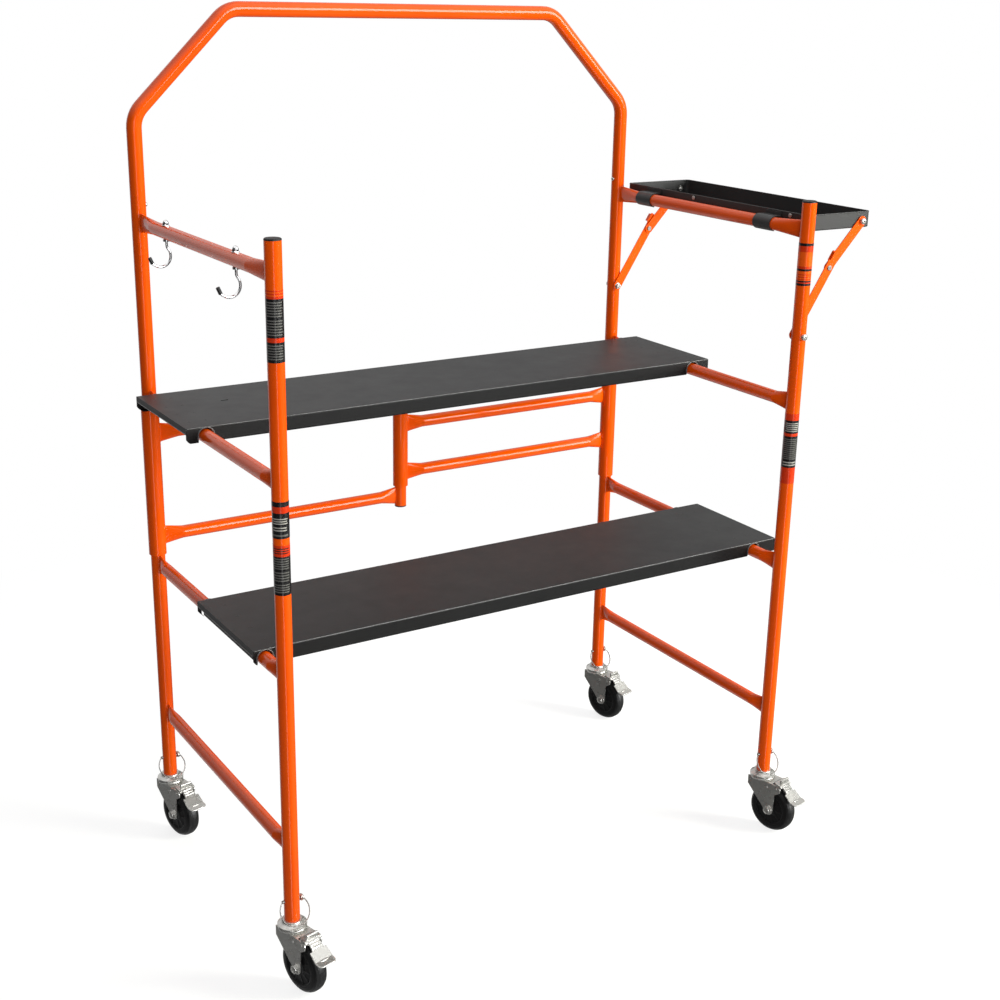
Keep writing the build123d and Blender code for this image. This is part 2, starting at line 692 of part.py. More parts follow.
def caster_fork():
    face = Plane.YZ * (trailing(SIDE_PLATE) + Pos(-TRAIL, WHEEL_R) * Circle(11.5))
    plate = extrude(face, amount=PLATE_T)
    fork = Pos(17.5, 0, 0) * plate
    fork += Pos(-20.0, 0, 0) * plate
    crown = Pos(0, 0, CROWN_Z) * extrude(Circle(25.0), amount=PLATE_T)
    crown += box((-19, 19), (-38, 0), (CROWN_Z, CROWN_Z + PLATE_T))
    fork += crown
    fork += turned(LOWER_RACE)
    fork += rod_z(0, 0, (112.2, CROWN_Z), 12.0)
    fork -= rod_z(0, 0, (100, 130), 6.3)
    fork -= rod_x((-30, 30), -TRAIL, WHEEL_R, AXLE_R + 0.05)
    fork -= rod_x((-30, 30), PIVOT_Y, PIVOT_Z, PIVOT_R + 0.05)
    return fork


def caster_wheel():
    half = [(radius, WHEEL_W / 2 - inset) for radius, inset in WHEEL_HALF]
    profile = [(radius, -out) for radius, out in half] + half[::-1]
    return Pos(0, -TRAIL, WHEEL_R) * (Rot(0, 90, 0) * turned(profile))


def caster_axle():
    """Axle with a hexagon against each side plate."""
    axle = rod_x((-23.6, 27.0), -TRAIL, WHEEL_R, AXLE_R)
    axle += Pos(-20.05, -TRAIL, WHEEL_R) * (Rot(0, -90, 0) * hexagon(16.0, 5.2))
    axle += Pos(20.05, -TRAIL, WHEEL_R) * (Rot(0, 90, 0) * hexagon(16.0, 5.6))
    return axle


def pedal_outline():
    """The centre line thickened by half the sheet to each side."""
    above, below = [], []
    for i, (back, z) in enumerate(PEDAL_LINE):
        before = PEDAL_LINE[max(i - 1, 0)]
        after = PEDAL_LINE[min(i + 1, len(PEDAL_LINE) - 1)]
        run, rise = after[0] - before[0], after[1] - before[1]
        half = PEDAL_T / 2 / math.hypot(run, rise)
        above.append((back - rise * half, z + run * half))
        below.append((back + rise * half, z - run * half))
    return above + below[::-1]


def caster_pedal():
    """Bent pedal with side notches, an upright tab, two ears and a pivot pin."""
    pedal = Pos(-PEDAL_W / 2, 0, 0) * extrude(
        Plane.YZ * trailing(pedal_outline()), amount=PEDAL_W
    )
    pedal &= Pos(0, -72, 80) * extrude(RectangleRounded(PEDAL_W, 60, 7.5), amount=60)
    for side in (-1, 1):
        notch = box((side * 12.0, side * 25.0), (-73.0, -60.5), (80, 140))
        inner = [e for e in notch.edges().filter_by(Axis.Z) if abs(e.center().X) < 13]
        pedal -= fillet(inner, 3.0)
    pedal += box((-13, 13), (-58, -54.2), (116.0, 127.0))
    ear = Plane.YZ * (trailing(PEDAL_EAR) + Pos(PIVOT_Y, PIVOT_Z) * Circle(5.8))
    for x in (-17.1, 14.6):
        pedal += Pos(x, 0, 0) * extrude(ear, amount=PEDAL_T)
    pedal += rod_x((-21.5, 21.5), PIVOT_Y, PIVOT_Z, PIVOT_R)
    return largest(pedal)


caster_pieces = (
    ("fork", ZINC, caster_fork()),
    ("wheel", RUBBER, caster_wheel()),
    ("axle", ZINC, caster_axle()),
    ("pedal", ZINC, caster_pedal()),
)
for side_tag, x in (("right", POST_X), ("left", -POST_X)):
    for end_tag, y in (("front", -POST_Y), ("rear", POST_Y)):
        place = Pos(x, y, 0) * Rot(0, 0, CASTER_YAW)
        for piece, color, shape in caster_pieces:
            save(f"{side_tag}_{end_tag}_caster_{piece}", color, place * shape)
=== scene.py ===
"""Looks of a baker scaffold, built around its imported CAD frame.

Metres, +Z up. The decks and gates run along X (left is -X), the side frames
along Y (front is -Y), and the casters stand on z = 0.
"""

import json
import math

import bmesh
import bpy
from mathutils import Matrix, Vector


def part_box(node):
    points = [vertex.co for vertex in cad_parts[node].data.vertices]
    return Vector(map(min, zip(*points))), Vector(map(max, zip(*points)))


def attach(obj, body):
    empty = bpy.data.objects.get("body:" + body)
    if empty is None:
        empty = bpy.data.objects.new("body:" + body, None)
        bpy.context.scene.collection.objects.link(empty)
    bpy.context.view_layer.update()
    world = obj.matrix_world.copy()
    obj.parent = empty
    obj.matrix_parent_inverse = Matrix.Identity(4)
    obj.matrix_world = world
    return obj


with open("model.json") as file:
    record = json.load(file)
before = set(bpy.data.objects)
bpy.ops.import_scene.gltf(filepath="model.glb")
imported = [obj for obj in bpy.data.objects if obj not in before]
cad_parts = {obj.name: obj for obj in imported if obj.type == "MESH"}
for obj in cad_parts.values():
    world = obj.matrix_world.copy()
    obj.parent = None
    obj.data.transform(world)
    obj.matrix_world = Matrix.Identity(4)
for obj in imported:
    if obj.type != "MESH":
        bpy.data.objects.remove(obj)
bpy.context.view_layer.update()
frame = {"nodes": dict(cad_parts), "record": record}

MM = 0.001
X, Y, Z = Vector((1, 0, 0)), Vector((0, 1, 0)), Vector((0, 0, 1))


def mm(*lengths):
    return tuple(length * MM for length in lengths)


# ---------------------------------------------------------------- places, read from the frame
def centre(node):
    lo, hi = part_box(node)
    return (lo + hi) / 2


CORNERS = ("right_front", "right_rear", "left_front", "left_rear")
POST = {corner: centre(f"{corner}_post") for corner in CORNERS}
POST_XS = (POST["left_front"].x, POST["right_front"].x)
HINGE_TUBE = centre("left_gate_hinge_tube")
MID_Y = POST["right_front"].y + 312.6 * MM
POST_RADIUS = 14.3 * MM
RUNG_Z = mm(279.0, 612.5, 957.5)
TOP_BAR_Z = 1303.0 * MM


# ---------------------------------------------------------------- shader building
class Tree:
    """Short calls that add shader nodes; values may be numbers, colours or sockets."""

    def __init__(self, tree):
        self.tree = tree
        self.tree.nodes.clear()
        self.coords = self.node("TexCoord")

    def put(self, socket, value):
        if hasattr(value, "is_output"):
            self.tree.links.new(value, socket)
        elif isinstance(value, (tuple, list)) and len(value) == 3 and socket.type == "RGBA":
            socket.default_value = (*value, 1.0)
        else:
            socket.default_value = value

    def node(self, kind, **props):
        made = self.tree.nodes.new("ShaderNode" + kind)
        for key, value in props.items():
            setattr(made, key, value)
        return made

    def filled(self, kind, inputs, **props):
        """Add a node and fill the given inputs, keyed by name or index."""
        made = self.node(kind, **props)
        for key, value in inputs.items():
            self.put(made.inputs[key], value)
        return made

    def math(self, op, a, b=0.0, clamp=False):
        return self.filled("Math", {0: a, 1: b}, operation=op, use_clamp=clamp).outputs[0]

    def plus(self, a, b):
        return self.math("ADD", a, b)

    def times(self, a, share, clamp=False):
        return self.math("MULTIPLY", a, share, clamp)

    def noise(self, scale=1.0, detail=2.0, rough=0.5, stretch=None, distortion=0.0):
        place = self.coords.outputs["Object"]
        if stretch:
            place = self.filled(
                "VectorMath", {0: place, 1: stretch}, operation="MULTIPLY").outputs[0]
        return self.filled("TexNoise", {
            "Vector": place, "Scale": scale, "Detail": detail,
            "Roughness": rough, "Distortion": distortion}).outputs["Fac"]

    def voronoi(self, scale, out="Distance"):
        inputs = {"Vector": self.coords.outputs["Object"], "Scale": scale}
        return self.filled("TexVoronoi", inputs).outputs[out]

    def remap(self, value, span, to=(0.0, 1.0)):
        """Map the range span onto the range to, clamped."""
        return self.filled("MapRange", {
            "Value": value, "From Min": span[0], "From Max": span[1],
            "To Min": to[0], "To Max": to[1]}, clamp=True).outputs["Result"]

    def mottle(self, span, to=(0.0, 1.0), **noise):
        return self.remap(self.noise(**noise), span, to)

    def mix(self, base, rgb, amount):
        return self.filled("Mix", {0: amount, 6: base, 7: rgb}, data_type="RGBA").outputs[2]

    def dot(self, a, b):
        made = self.filled("VectorMath", {0: a, 1: b}, operation="DOT_PRODUCT")
        return made.outputs["Value"]

    def bevel(self, radius):
        return self.filled("Bevel", {"Radius": radius}, samples=4).outputs[0]

    def edge(self, radius, gain):
        """1 close to an edge of the shape, 0 on open faces."""
        normal = self.node("NewGeometry").outputs["Normal"]
        inverse = self.math("SUBTRACT", 1.0, self.dot(self.bevel(radius), normal))
        return self.times(inverse, gain, clamp=True)

    def upward(self):
        """1 on faces that look up."""
        normal = self.node("NewGeometry").outputs["Normal"]
        return self.remap(self.filled("SeparateXYZ", {0: normal}).outputs[2], span=(0.6, 0.98))

    def bump(self, height, depth, strength, normal=None):
        inputs = {"Strength": strength, "Distance": depth, "Height": height}
        if normal is not None:
            inputs["Normal"] = normal
        return self.filled("Bump", inputs).outputs[0]

    def scratches(self, along, across_scale, along_scale, density):
        """Fine straight marks, mostly along one axis: 1 on a mark."""
        stretch = [across_scale] * 3
        stretch[along] = along_scale
        start = 0.5 + density
        marks = self.mottle(detail=1.0, stretch=tuple(stretch), span=(start, start + 0.05))
        return self.times(marks, self.mottle(scale=9.0, span=(0.55, 0.68)))

    def emission(self, strength):
        return self.filled("Emission", {1: strength}).outputs[0]

    def mix_shader(self, amount, first, second):
        return self.filled("MixShader", {0: amount, 1: first, 2: second}).outputs[0]


class Mat(Tree):
    """A new material with a Principled surface."""

    def __init__(self, name):
        self.material = bpy.data.materials.new(name)
        self.material.use_nodes = True
        super().__init__(self.material.node_tree)
        self.surface = self.node("BsdfPrincipled")
        self.filled("OutputMaterial", {0: self.surface.outputs[0]})

    def set(self, **inputs):
        for key, value in inputs.items():
            self.put(self.surface.inputs[key.replace("_", " ")], value)


# ---------------------------------------------------------------- materials
def orange_coat():
    mat = Mat("orange_powder_coat")
    patches = mat.mottle(scale=5.0, detail=3.0, span=(0.35, 0.65))
    body = mat.mix((0.80, 0.078, 0.0003), rgb=(0.86, 0.092, 0.0004), amount=patches)
    fine = mat.mottle(scale=1100.0, detail=1.0, span=(0.3, 0.7))
    body = mat.mix(body, rgb=(0.62, 0.052, 0.0003), amount=mat.times(fine, share=0.07))
    fleck = mat.remap(mat.voronoi(scale=420.0), span=(0.0, 0.10), to=(0.09, 0.0))
    body = mat.mix(body, rgb=(0.62, 0.055, 0.0004), amount=fleck)
    edge = mat.remap(mat.edge(radius=0.7 * MM, gain=1.0), span=(0.10, 0.45))
    patchy = mat.mottle(scale=210.0, detail=3.0, span=(0.46, 0.62))
    worn = mat.times(mat.times(edge, patchy, clamp=True), share=0.35)
    body = mat.mix(body, rgb=(0.92, 0.16, 0.012), amount=worn)
    dust = mat.mottle(scale=60.0, detail=4.0, rough=0.62, span=(0.50, 0.75), to=(0.0, 0.05))
    body = mat.mix(body, rgb=(0.60, 0.36, 0.22), amount=mat.times(dust, mat.upward()))
    mat.set(Base_Color=body, IOR=1.45, Specular_IOR_Level=0.12)
    satin = mat.mottle(scale=70.0, detail=3.0, span=(0.3, 0.7), to=(0.32, 0.40))
    mat.set(Roughness=mat.plus(satin, mat.times(worn, share=0.25)))
    gloss = mat.mottle(scale=48.0, detail=3.0, span=(0.3, 0.7), to=(0.045, 0.09))
    mat.set(Coat_Weight=0.60, Coat_Roughness=gloss, Coat_IOR=1.5)
    broad = mat.times(mat.noise(scale=150.0, detail=1.0), share=0.8)
    peel = mat.plus(mat.noise(scale=420.0, detail=1.5), broad)
    for socket, depth, strength in (("Normal", 0.06 * MM, 0.4), ("Coat_Normal", 0.05 * MM, 0.25)):
        mat.set(**{socket: mat.bump(peel, depth, strength, normal=mat.bevel(0.5 * MM))})
    return mat.material


def sheet_coat():
    mat = Mat("charcoal_sheet")
    cloud = mat.mottle(scale=3.2, detail=3.0, span=(0.35, 0.68))
    body = mat.mix((0.0100, 0.0100, 0.0102), rgb=(0.0122, 0.0122, 0.0124), amount=cloud)
    grit = mat.mottle(scale=1300.0, rough=0.6, span=(0.35, 0.7))
    body = mat.mix(body, rgb=(0.023, 0.023, 0.0234), amount=mat.times(grit, share=0.20))
    # painted shade: faces that don't look up are darkened toward near black, standing in for the
    # shade on the deck's flanges and sides
    side = mat.mix(body, rgb=(0.002, 0.002, 0.002), amount=0.55)
    body = mat.mix(side, rgb=body, amount=mat.upward())
    long_x = mat.scratches(along=0, across_scale=1100.0, along_scale=9.0, density=0.20)
    long_y = mat.scratches(along=1, across_scale=1300.0, along_scale=16.0, density=0.22)
    patchy = mat.mottle(scale=110.0, detail=3.0, span=(0.40, 0.66), to=(0.2, 1.0))
    edge = mat.times(mat.edge(radius=1.1 * MM, gain=2.6), patchy, clamp=True)
    scratched = mat.times(mat.math("MAXIMUM", long_x, long_y), share=0.05)
    worn = mat.math("MAXIMUM", scratched, mat.times(edge, share=0.34))
    body = mat.mix(body, rgb=(0.13, 0.13, 0.134), amount=worn)
    smear = mat.mottle(scale=9.0, detail=5.0, rough=0.65, stretch=(1.0, 2.2, 1.0),
                       distortion=0.4, span=(0.52, 0.78), to=(0.0, 0.02))
    body = mat.mix(body, rgb=(0.15, 0.149, 0.145), amount=mat.times(smear, mat.upward()))
    # faces that look up shine more: 0.19 on the sides, 0.50 on top
    specular = mat.plus(mat.times(mat.upward(), share=0.31), 0.19)
    mat.set(Base_Color=body, IOR=1.5, Specular_IOR_Level=specular)
    satin = mat.mottle(scale=18.0, detail=4.0, rough=0.6, span=(0.3, 0.7), to=(0.47, 0.53))
    mat.set(Roughness=mat.math("SUBTRACT", satin, mat.times(worn, share=0.15)))
    broad = mat.times(mat.noise(scale=420.0, detail=1.0), share=0.9)
    texture = mat.plus(mat.noise(scale=1000.0), broad)
    swell = mat.noise(scale=5.0, detail=1.0, rough=0.4, stretch=(0.7, 1.6, 1.0))
    waves = mat.bump(swell, depth=1.0 * MM, strength=0.2, normal=mat.bevel(0.9 * MM))
    mat.set(Normal=mat.bump(texture, depth=0.09 * MM, strength=0.5, normal=waves))
    return mat.material


def black_coat():
    mat = Mat("black_satin_coat")
    body = mat.mix((0.0250, 0.0250, 0.0253), rgb=(0.0310, 0.0310, 0.0313),
                   amount=mat.noise(scale=6.0, detail=3.0))
    patchy = mat.mottle(scale=120.0, detail=3.0, span=(0.40, 0.64), to=(0.1, 1.0))
    edge = mat.times(mat.edge(radius=1.0 * MM, gain=2.4), patchy, clamp=True)
    marks = mat.scratches(along=1, across_scale=1300.0, along_scale=14.0, density=0.20)
    worn = mat.math("MAXIMUM", mat.times(marks, share=0.06), mat.times(edge, share=0.30))
    body = mat.mix(body, rgb=(0.10, 0.10, 0.104), amount=worn)
    dust = mat.mottle(scale=16.0, detail=5.0, rough=0.65, span=(0.50, 0.76), to=(0.0, 0.03))
    body = mat.mix(body, rgb=(0.16, 0.157, 0.15), amount=mat.times(dust, mat.upward()))
    satin = mat.mottle(scale=40.0, detail=3.0, span=(0.3, 0.7), to=(0.36, 0.46))
    mat.set(Base_Color=body, IOR=1.45, Specular_IOR_Level=0.4, Roughness=satin)
    broad = mat.times(mat.noise(scale=300.0, detail=1.0), share=0.8)
    texture = mat.plus(mat.noise(scale=850.0), broad)
    mat.set(Normal=mat.bump(texture, depth=0.08 * MM, strength=0.5, normal=mat.bevel(0.7 * MM)))
    return mat.material


def moulded_black():
    mat = Mat("black_plastic")
    body = mat.mix((0.006, 0.006, 0.0062), rgb=(0.012, 0.012, 0.0125),
                   amount=mat.noise(scale=60.0, detail=3.0))
    edge = mat.times(mat.edge(radius=0.6 * MM, gain=2.0), share=0.22)
    body = mat.mix(body, rgb=(0.07, 0.07, 0.07), amount=edge)
    satin = mat.mottle(scale=300.0, span=(0.3, 0.7), to=(0.42, 0.56))
    mat.set(Base_Color=body, Roughness=satin, IOR=1.46, Specular_IOR_Level=0.42)
    grain = mat.voronoi(scale=1500.0)
    mat.set(Normal=mat.bump(grain, depth=0.07 * MM, strength=0.6, normal=mat.bevel(0.5 * MM)))
    return mat.material


def zinc(name, dull):
    """Zinc plate; dull runs from 0 for bright to 1 for nearly black."""
    mat = Mat(name)
    cells = mat.voronoi(scale=210.0, out="Color")
    flake = mat.filled("SeparateColor", {0: cells}).outputs[0]
    tint = mat.mix((0.58, 0.57, 0.54), rgb=(0.52, 0.515, 0.495),
                   amount=mat.mottle(scale=26.0, detail=3.0, span=(0.35, 0.65)))
    tint = mat.mix(tint, rgb=(0.68, 0.675, 0.655),
                   amount=mat.remap(flake, span=(0.0, 1.0), to=(0.0, 0.16)))
    pits = mat.mottle(scale=520.0, span=(0.66, 0.76), to=(0.0, 0.16))
    tint = mat.mix(tint, rgb=(0.24, 0.235, 0.225), amount=pits)
    tint = mat.mix(tint, rgb=(0.03, 0.03, 0.029), amount=dull)
    mat.set(Base_Color=tint, Metallic=0.80)
    satin = mat.mottle(scale=85.0, detail=4.0, rough=0.6, span=(0.3, 0.7), to=(0.25, 0.37))
    satin = mat.plus(satin, mat.remap(flake, span=(0.0, 1.0), to=(-0.03, 0.05)))
    mat.set(Roughness=mat.plus(satin, 0.12 * dull))
    brush = mat.times(mat.noise(stretch=(1500.0, 90.0, 1500.0)), share=0.7)
    relief = mat.plus(brush, mat.noise(scale=380.0))
    mat.set(Normal=mat.bump(relief, depth=0.05 * MM, strength=0.35, normal=mat.bevel(0.6 * MM)))
    return mat.material


def chrome():
    mat = Mat("chrome_plate")
    tint = mat.mix((0.72, 0.73, 0.74), rgb=(0.80, 0.805, 0.81), amount=mat.noise(scale=40.0))
    haze = mat.mottle(scale=130.0, detail=4.0, rough=0.6, span=(0.4, 0.75), to=(0.05, 0.16))
    mat.set(Base_Color=tint, Metallic=1.0, Roughness=haze)
    relief = mat.noise(scale=260.0, detail=1.0)
    mat.set(Normal=mat.bump(relief, depth=0.05 * MM, strength=0.4, normal=mat.bevel(0.4 * MM)))
    return mat.material


def rubber():
    mat = Mat("black_rubber")
    body = mat.mix((0.0045, 0.0045, 0.0048), rgb=(0.0085, 0.0085, 0.0088),
                   amount=mat.noise(scale=30.0, detail=4.0))
    scuff = mat.mottle(scale=90.0, detail=5.0, rough=0.65, span=(0.56, 0.74), to=(0.0, 0.18))
    body = mat.mix(body, rgb=(0.026, 0.0255, 0.0245), amount=scuff)
    edge = mat.times(mat.edge(radius=1.0 * MM, gain=2.0), share=0.16)
    body = mat.mix(body, rgb=(0.04, 0.04, 0.04), amount=edge)
    satin = mat.mottle(scale=70.0, detail=3.0, span=(0.3, 0.7), to=(0.36, 0.5))
    mat.set(Base_Color=body, IOR=1.45, Specular_IOR_Level=0.4, Roughness=satin)
    cells = mat.times(mat.voronoi(scale=900.0), share=0.4)
    texture = mat.plus(mat.noise(scale=700.0), cells)
    mat.set(Normal=mat.bump(texture, depth=0.09 * MM, strength=0.5, normal=mat.bevel(0.9 * MM)))
    return mat.material


def vinyl(name, rgb, dark):
    """Printed plastic film: slight gloss, tiny bubbles and rubbed spots."""
    mat = Mat(name)
    shade = mat.mottle(scale=120.0, detail=4.0, rough=0.6, span=(0.35, 0.7), to=(0.0, 0.5))
    body = mat.mix(rgb, rgb=dark, amount=shade)
    rubs = mat.mottle(scale=240.0, detail=4.0, rough=0.65, span=(0.66, 0.74), to=(0.0, 0.35))
    body = mat.mix(body, rgb=(0.20, 0.10, 0.06), amount=rubs)
    satin = mat.mottle(scale=90.0, span=(0.3, 0.7), to=(0.26, 0.40))
    mat.set(Base_Color=body, Roughness=satin, IOR=1.44, Specular_IOR_Level=0.4)
    mat.set(Coat_Weight=0.3, Coat_Roughness=0.12)
    bubbles = mat.remap(mat.voronoi(scale=170.0), span=(0.0, 0.35), to=(1.0, 0.0))
    relief = mat.plus(bubbles, mat.noise(scale=500.0, detail=1.0))
    mat.set(Normal=mat.bump(relief, depth=0.05 * MM, strength=0.35))
    return mat.material


def rubbed_and_highlight_sheet():
    """Paler grey deck coat: rubbed wear where forming has worn it, and a painted highlight where
    it colours the pressed lines beside the long bends.
    """
    mat = Mat("rubbed_and_highlight_sheet")
    body = mat.mix((0.055, 0.055, 0.0555), rgb=(0.12, 0.12, 0.121),
                   amount=mat.mottle(scale=300.0, detail=3.0, span=(0.35, 0.65)))
    satin = mat.mottle(scale=90.0, span=(0.3, 0.7), to=(0.34, 0.46))
    mat.set(Base_Color=body, IOR=1.5, Roughness=satin)
    mat.set(Normal=mat.bump(mat.noise(scale=900.0), depth=0.06 * MM, strength=0.5))
    return mat.material


MATS = {
    "orange_powder_coat": orange_coat(),
    "charcoal_sheet": sheet_coat(),
    "black_satin_coat": black_coat(),
    "black_plastic": moulded_black(),
    "zinc_plate": zinc("zinc_plate", dull=0.0),
    "chrome_plate": chrome(),
    "black_rubber": rubber(),
}
DULL_ZINC = zinc("dull_zinc", dull=0.62)
RED, BLACK, GREY, WHITE, ORANGE = range(5)  # places in PRINTS
PRINTS = [
    vinyl("print_red", rgb=(0.62, 0.034, 0.003), dark=(0.50, 0.024, 0.003)),
    vinyl("print_black", rgb=(0.0065, 0.0065, 0.007), dark=(0.012, 0.012, 0.0125)),
    vinyl("print_grey", rgb=(0.135, 0.132, 0.125), dark=(0.085, 0.082, 0.078)),
    vinyl("print_white", rgb=(0.40, 0.385, 0.36), dark=(0.28, 0.27, 0.25)),
    vinyl("print_orange", rgb=(0.84, 0.100, 0.002), dark=(0.74, 0.078, 0.002)),
]
RUBBED_AND_HIGHLIGHT = rubbed_and_highlight_sheet()

# finishes of the CAD nodes
slots = {part["node"]: part["material_slot"] for part in frame["record"]["subparts"]}
for name, ob in frame["nodes"].items():
    dull = name.endswith(("locking_pins", "_rivet_head", "_rivet_tail"))
    ob.data.materials.clear()
    ob.data.materials.append(DULL_ZINC if dull else MATS[slots[name]])


# ---------------------------------------------------------------- mesh helpers
# A shape is a pair: vertices in metres, and faces.
def new_object(name, shape, body, slot, materials=None, face_materials=None, sharp_angle=40.0):
    verts, faces = shape
    mesh = bpy.data.meshes.new(name)
    mesh.from_pydata([tuple(vert) for vert in verts], [], faces)
    bm = bmesh.new()
    bm.from_mesh(mesh)
    bmesh.ops.recalc_face_normals(bm, faces=bm.faces)
    bm.to_mesh(mesh)
    bm.free()
    for material in materials or [MATS[slot]]:
        mesh.materials.append(material)
    if face_materials:
        mesh.polygons.foreach_set("material_index", face_materials)
    mesh.polygons.foreach_set("use_smooth", [True] * len(mesh.polygons))
    mesh.set_sharp_from_angle(angle=math.radians(sharp_angle))
    mesh.update()
    ob = bpy.data.objects.new(name, mesh)
    bpy.context.scene.collection.objects.link(ob)
    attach(ob, body)


class Bag:
    """Collects several closed shapes of one piece."""

    def __init__(self):
        self.verts, self.faces = [], []

    def add(self, shape, matrix=Matrix.Identity(4)):
        verts, faces = shape
        first = len(self.verts)
        self.verts += [matrix @ Vector(vert) for vert in verts]
        self.faces += [tuple(i + first for i in face) for face in faces]

    def make(self, name, body, slot, **look):
        new_object(name, (self.verts, self.faces), body, slot, **look)


def skin(rows, sides, loop):
    """Quads between successive closed rows of vertices."""
    faces = []
    for i in range(rows if loop else rows - 1):
        j = (i + 1) % rows
        for k in range(sides):
            l = (k + 1) % sides
            faces.append((i * sides + k, j * sides + k, j * sides + l, i * sides + l))
    return faces


def lathe(profile, segs):
    """Turn a closed profile of (radius, z) in millimetres about Z."""
    verts = []
    for i in range(segs):
        a = 2 * math.pi * i / segs
        verts += [mm(radius * math.cos(a), radius * math.sin(a), z) for radius, z in profile]
    return verts, skin(segs, len(profile), loop=True)


def washer(bore, radius, base, top, chamfer, segs=40):
    """Flat ring, in millimetres; chamfer is (inward, down) on its outer top edge."""
    inward, down = chamfer
    return lathe([(bore, base), (bore, top), (radius - inward, top),
                  (radius, top - down), (radius, base)], segs)


def swept(points, normals, radius, sides, loop=True, flat=1.0):
    """Round bead along points. radius may be a list; flat scales it along the normals."""
    verts = []
    count = len(points)
    for i in range(count):
        if loop:
            tangent = points[(i + 1) % count] - points[i - 1]
        else:
            tangent = points[min(i + 1, count - 1)] - points[max(i - 1, 0)]
        tangent.normalize()
        normal = normals[i] - tangent * normals[i].dot(tangent)
        normal.normalize()
        across = tangent.cross(normal)
        r = radius[i] if isinstance(radius, list) else radius
        for k in range(sides):
            a = 2 * math.pi * k / sides
            verts.append(points[i] + normal * (r * flat * math.sin(a))
                         + across * (r * math.cos(a)))
    faces = skin(count, sides, loop)
    if not loop:
        faces.append(tuple(range(sides))[::-1])
        faces.append(tuple((count - 1) * sides + k for k in range(sides)))
    return verts, faces


def rod(points, radius, sides, up=Z, flat=1.0):
    """Open bead whose normals all point the same way."""
    return swept(points, [up] * len(points), radius, sides, loop=False, flat=flat)


def straight(start, length, steps, axis=0):
    """Even points from start along one axis."""
    points = []
    for i in range(steps + 1):
        point = list(start)
        point[axis] += length * i / steps
        points.append(Vector(point))
    return points


def tapered(radius, steps, tip, pad, power):
    """Radii of a rod that thins toward both ends."""
    return [radius * min(1.0, tip + (1 - tip)
                         * math.sin(math.pi * (i + pad) / (steps + 2 * pad)) ** power)
            for i in range(steps + 1)]


def rounded_bar(middle, size, bevel, segs):
    """Bevelled block."""
    bm = bmesh.new()
    bmesh.ops.create_cube(bm, size=1.0)
    bmesh.ops.scale(bm, vec=size, verts=bm.verts)
    bmesh.ops.bevel(bm, geom=list(bm.edges), offset=bevel, segments=segs, profile=0.5,
                    affect="EDGES")
    bmesh.ops.translate(bm, vec=middle, verts=bm.verts)
    bm.verts.ensure_lookup_table()
    verts = [tuple(vert.co) for vert in bm.verts]
    faces = [tuple(vert.index for vert in face.verts) for face in bm.faces]
    bm.free()
    return verts, faces


def facing_x(sign):
    """Turn that lays +Z along X, toward the given sign."""
    return Matrix.Rotation(sign * math.pi / 2, 4, "Y")


def facing_y(sign):
    """Turn that lays +Z along Y, toward the given sign."""
    return Matrix.Rotation(-sign * math.pi / 2, 4, "X")


# ---------------------------------------------------------------- weld beads
WELD_STEPS = 150
WELD_HALF_WIDTH = (4.0 + 0.55) * MM  # half the pinched tube end, plus the bead's offset
WELD_INSET = 0.8 * MM
WELD_LIFT = 0.30 * MM
RIPPLES = round(88 / 2.3)  # length round the joint over ripple pitch
RUNG_HALF_HEIGHT = 19.3 * MM
TOP_BAR_HALF_HEIGHT = 17.6 * MM
REAR_SLEEVE_RADIUS = 17.5 * MM


def weld(post, radius, z, direction, half_height=RUNG_HALF_HEIGHT, bead=1.3 * MM):
    """Bead where a pinched tube, running along direction, lands on an upright."""
    side = Vector((-direction.y, direction.x, 0))
    points, normals, radii = [], [], []
    for i in range(WELD_STEPS):
        a = 2 * math.pi * i / WELD_STEPS
        across = WELD_HALF_WIDTH * math.cos(a)
        rise = (half_height - WELD_INSET) * math.sin(a)
        depth = math.sqrt(radius * radius - across * across)
        radial = (direction * depth + side * across).normalized()
        points.append(Vector((post.x, post.y, z + rise)) + radial * (radius + WELD_LIFT))
        outward = side * math.cos(a) + Z * math.sin(a)
        normals.append((radial + outward * 0.6).normalized())
        ripple = 0.14 * math.sin(2 * math.pi * RIPPLES * i / WELD_STEPS)
        drift = 0.06 * math.sin(2 * math.pi * 3 * i / WELD_STEPS + 1.0)
        radii.append(bead * (1 + ripple + drift))
    return swept(points, normals, radii, sides=10)


def frame_welds(side):
    bag = Bag()
    for z in (*RUNG_Z, TOP_BAR_Z):
        half = TOP_BAR_HALF_HEIGHT if z == TOP_BAR_Z else RUNG_HALF_HEIGHT
        bag.add(weld(POST[f"{side}_front"], POST_RADIUS, z, Y, half))
        bag.add(weld(POST[f"{side}_rear"], POST_RADIUS, z, -Y, half))
    bag.make(f"{side}_frame_weld_beads", f"{side}_frame", "orange_powder_coat")


def gate_welds(side, rail_z, inward, hinge_radius, hinge_bead):
    """Rails of one gate half, from the rear post to the hinge in the middle."""
    bag = Bag()
    for z in rail_z:
        bag.add(weld(POST[f"{side}_rear"], REAR_SLEEVE_RADIUS, z, inward))
        bag.add(weld(HINGE_TUBE, hinge_radius, z, -inward, bead=hinge_bead))
    bag.make(f"{side}_gate_weld_beads", f"{side}_gate", "orange_powder_coat")


frame_welds("right")
frame_welds("left")
gate_welds("right", mm(722.7, 832.7), -X, hinge_radius=16.3 * MM, hinge_bead=1.3 * MM)
gate_welds("left", mm(670.5, 886.5), X, hinge_radius=12.7 * MM, hinge_bead=1.1 * MM)


# ---------------------------------------------------------------- deck details
NOTCH_RADIUS = 15.55 * MM
NOTCH_STEPS = 64
NOTCH_DROP = (18.0 - 1.4) * MM  # from the deck top to the centre of the notch arc
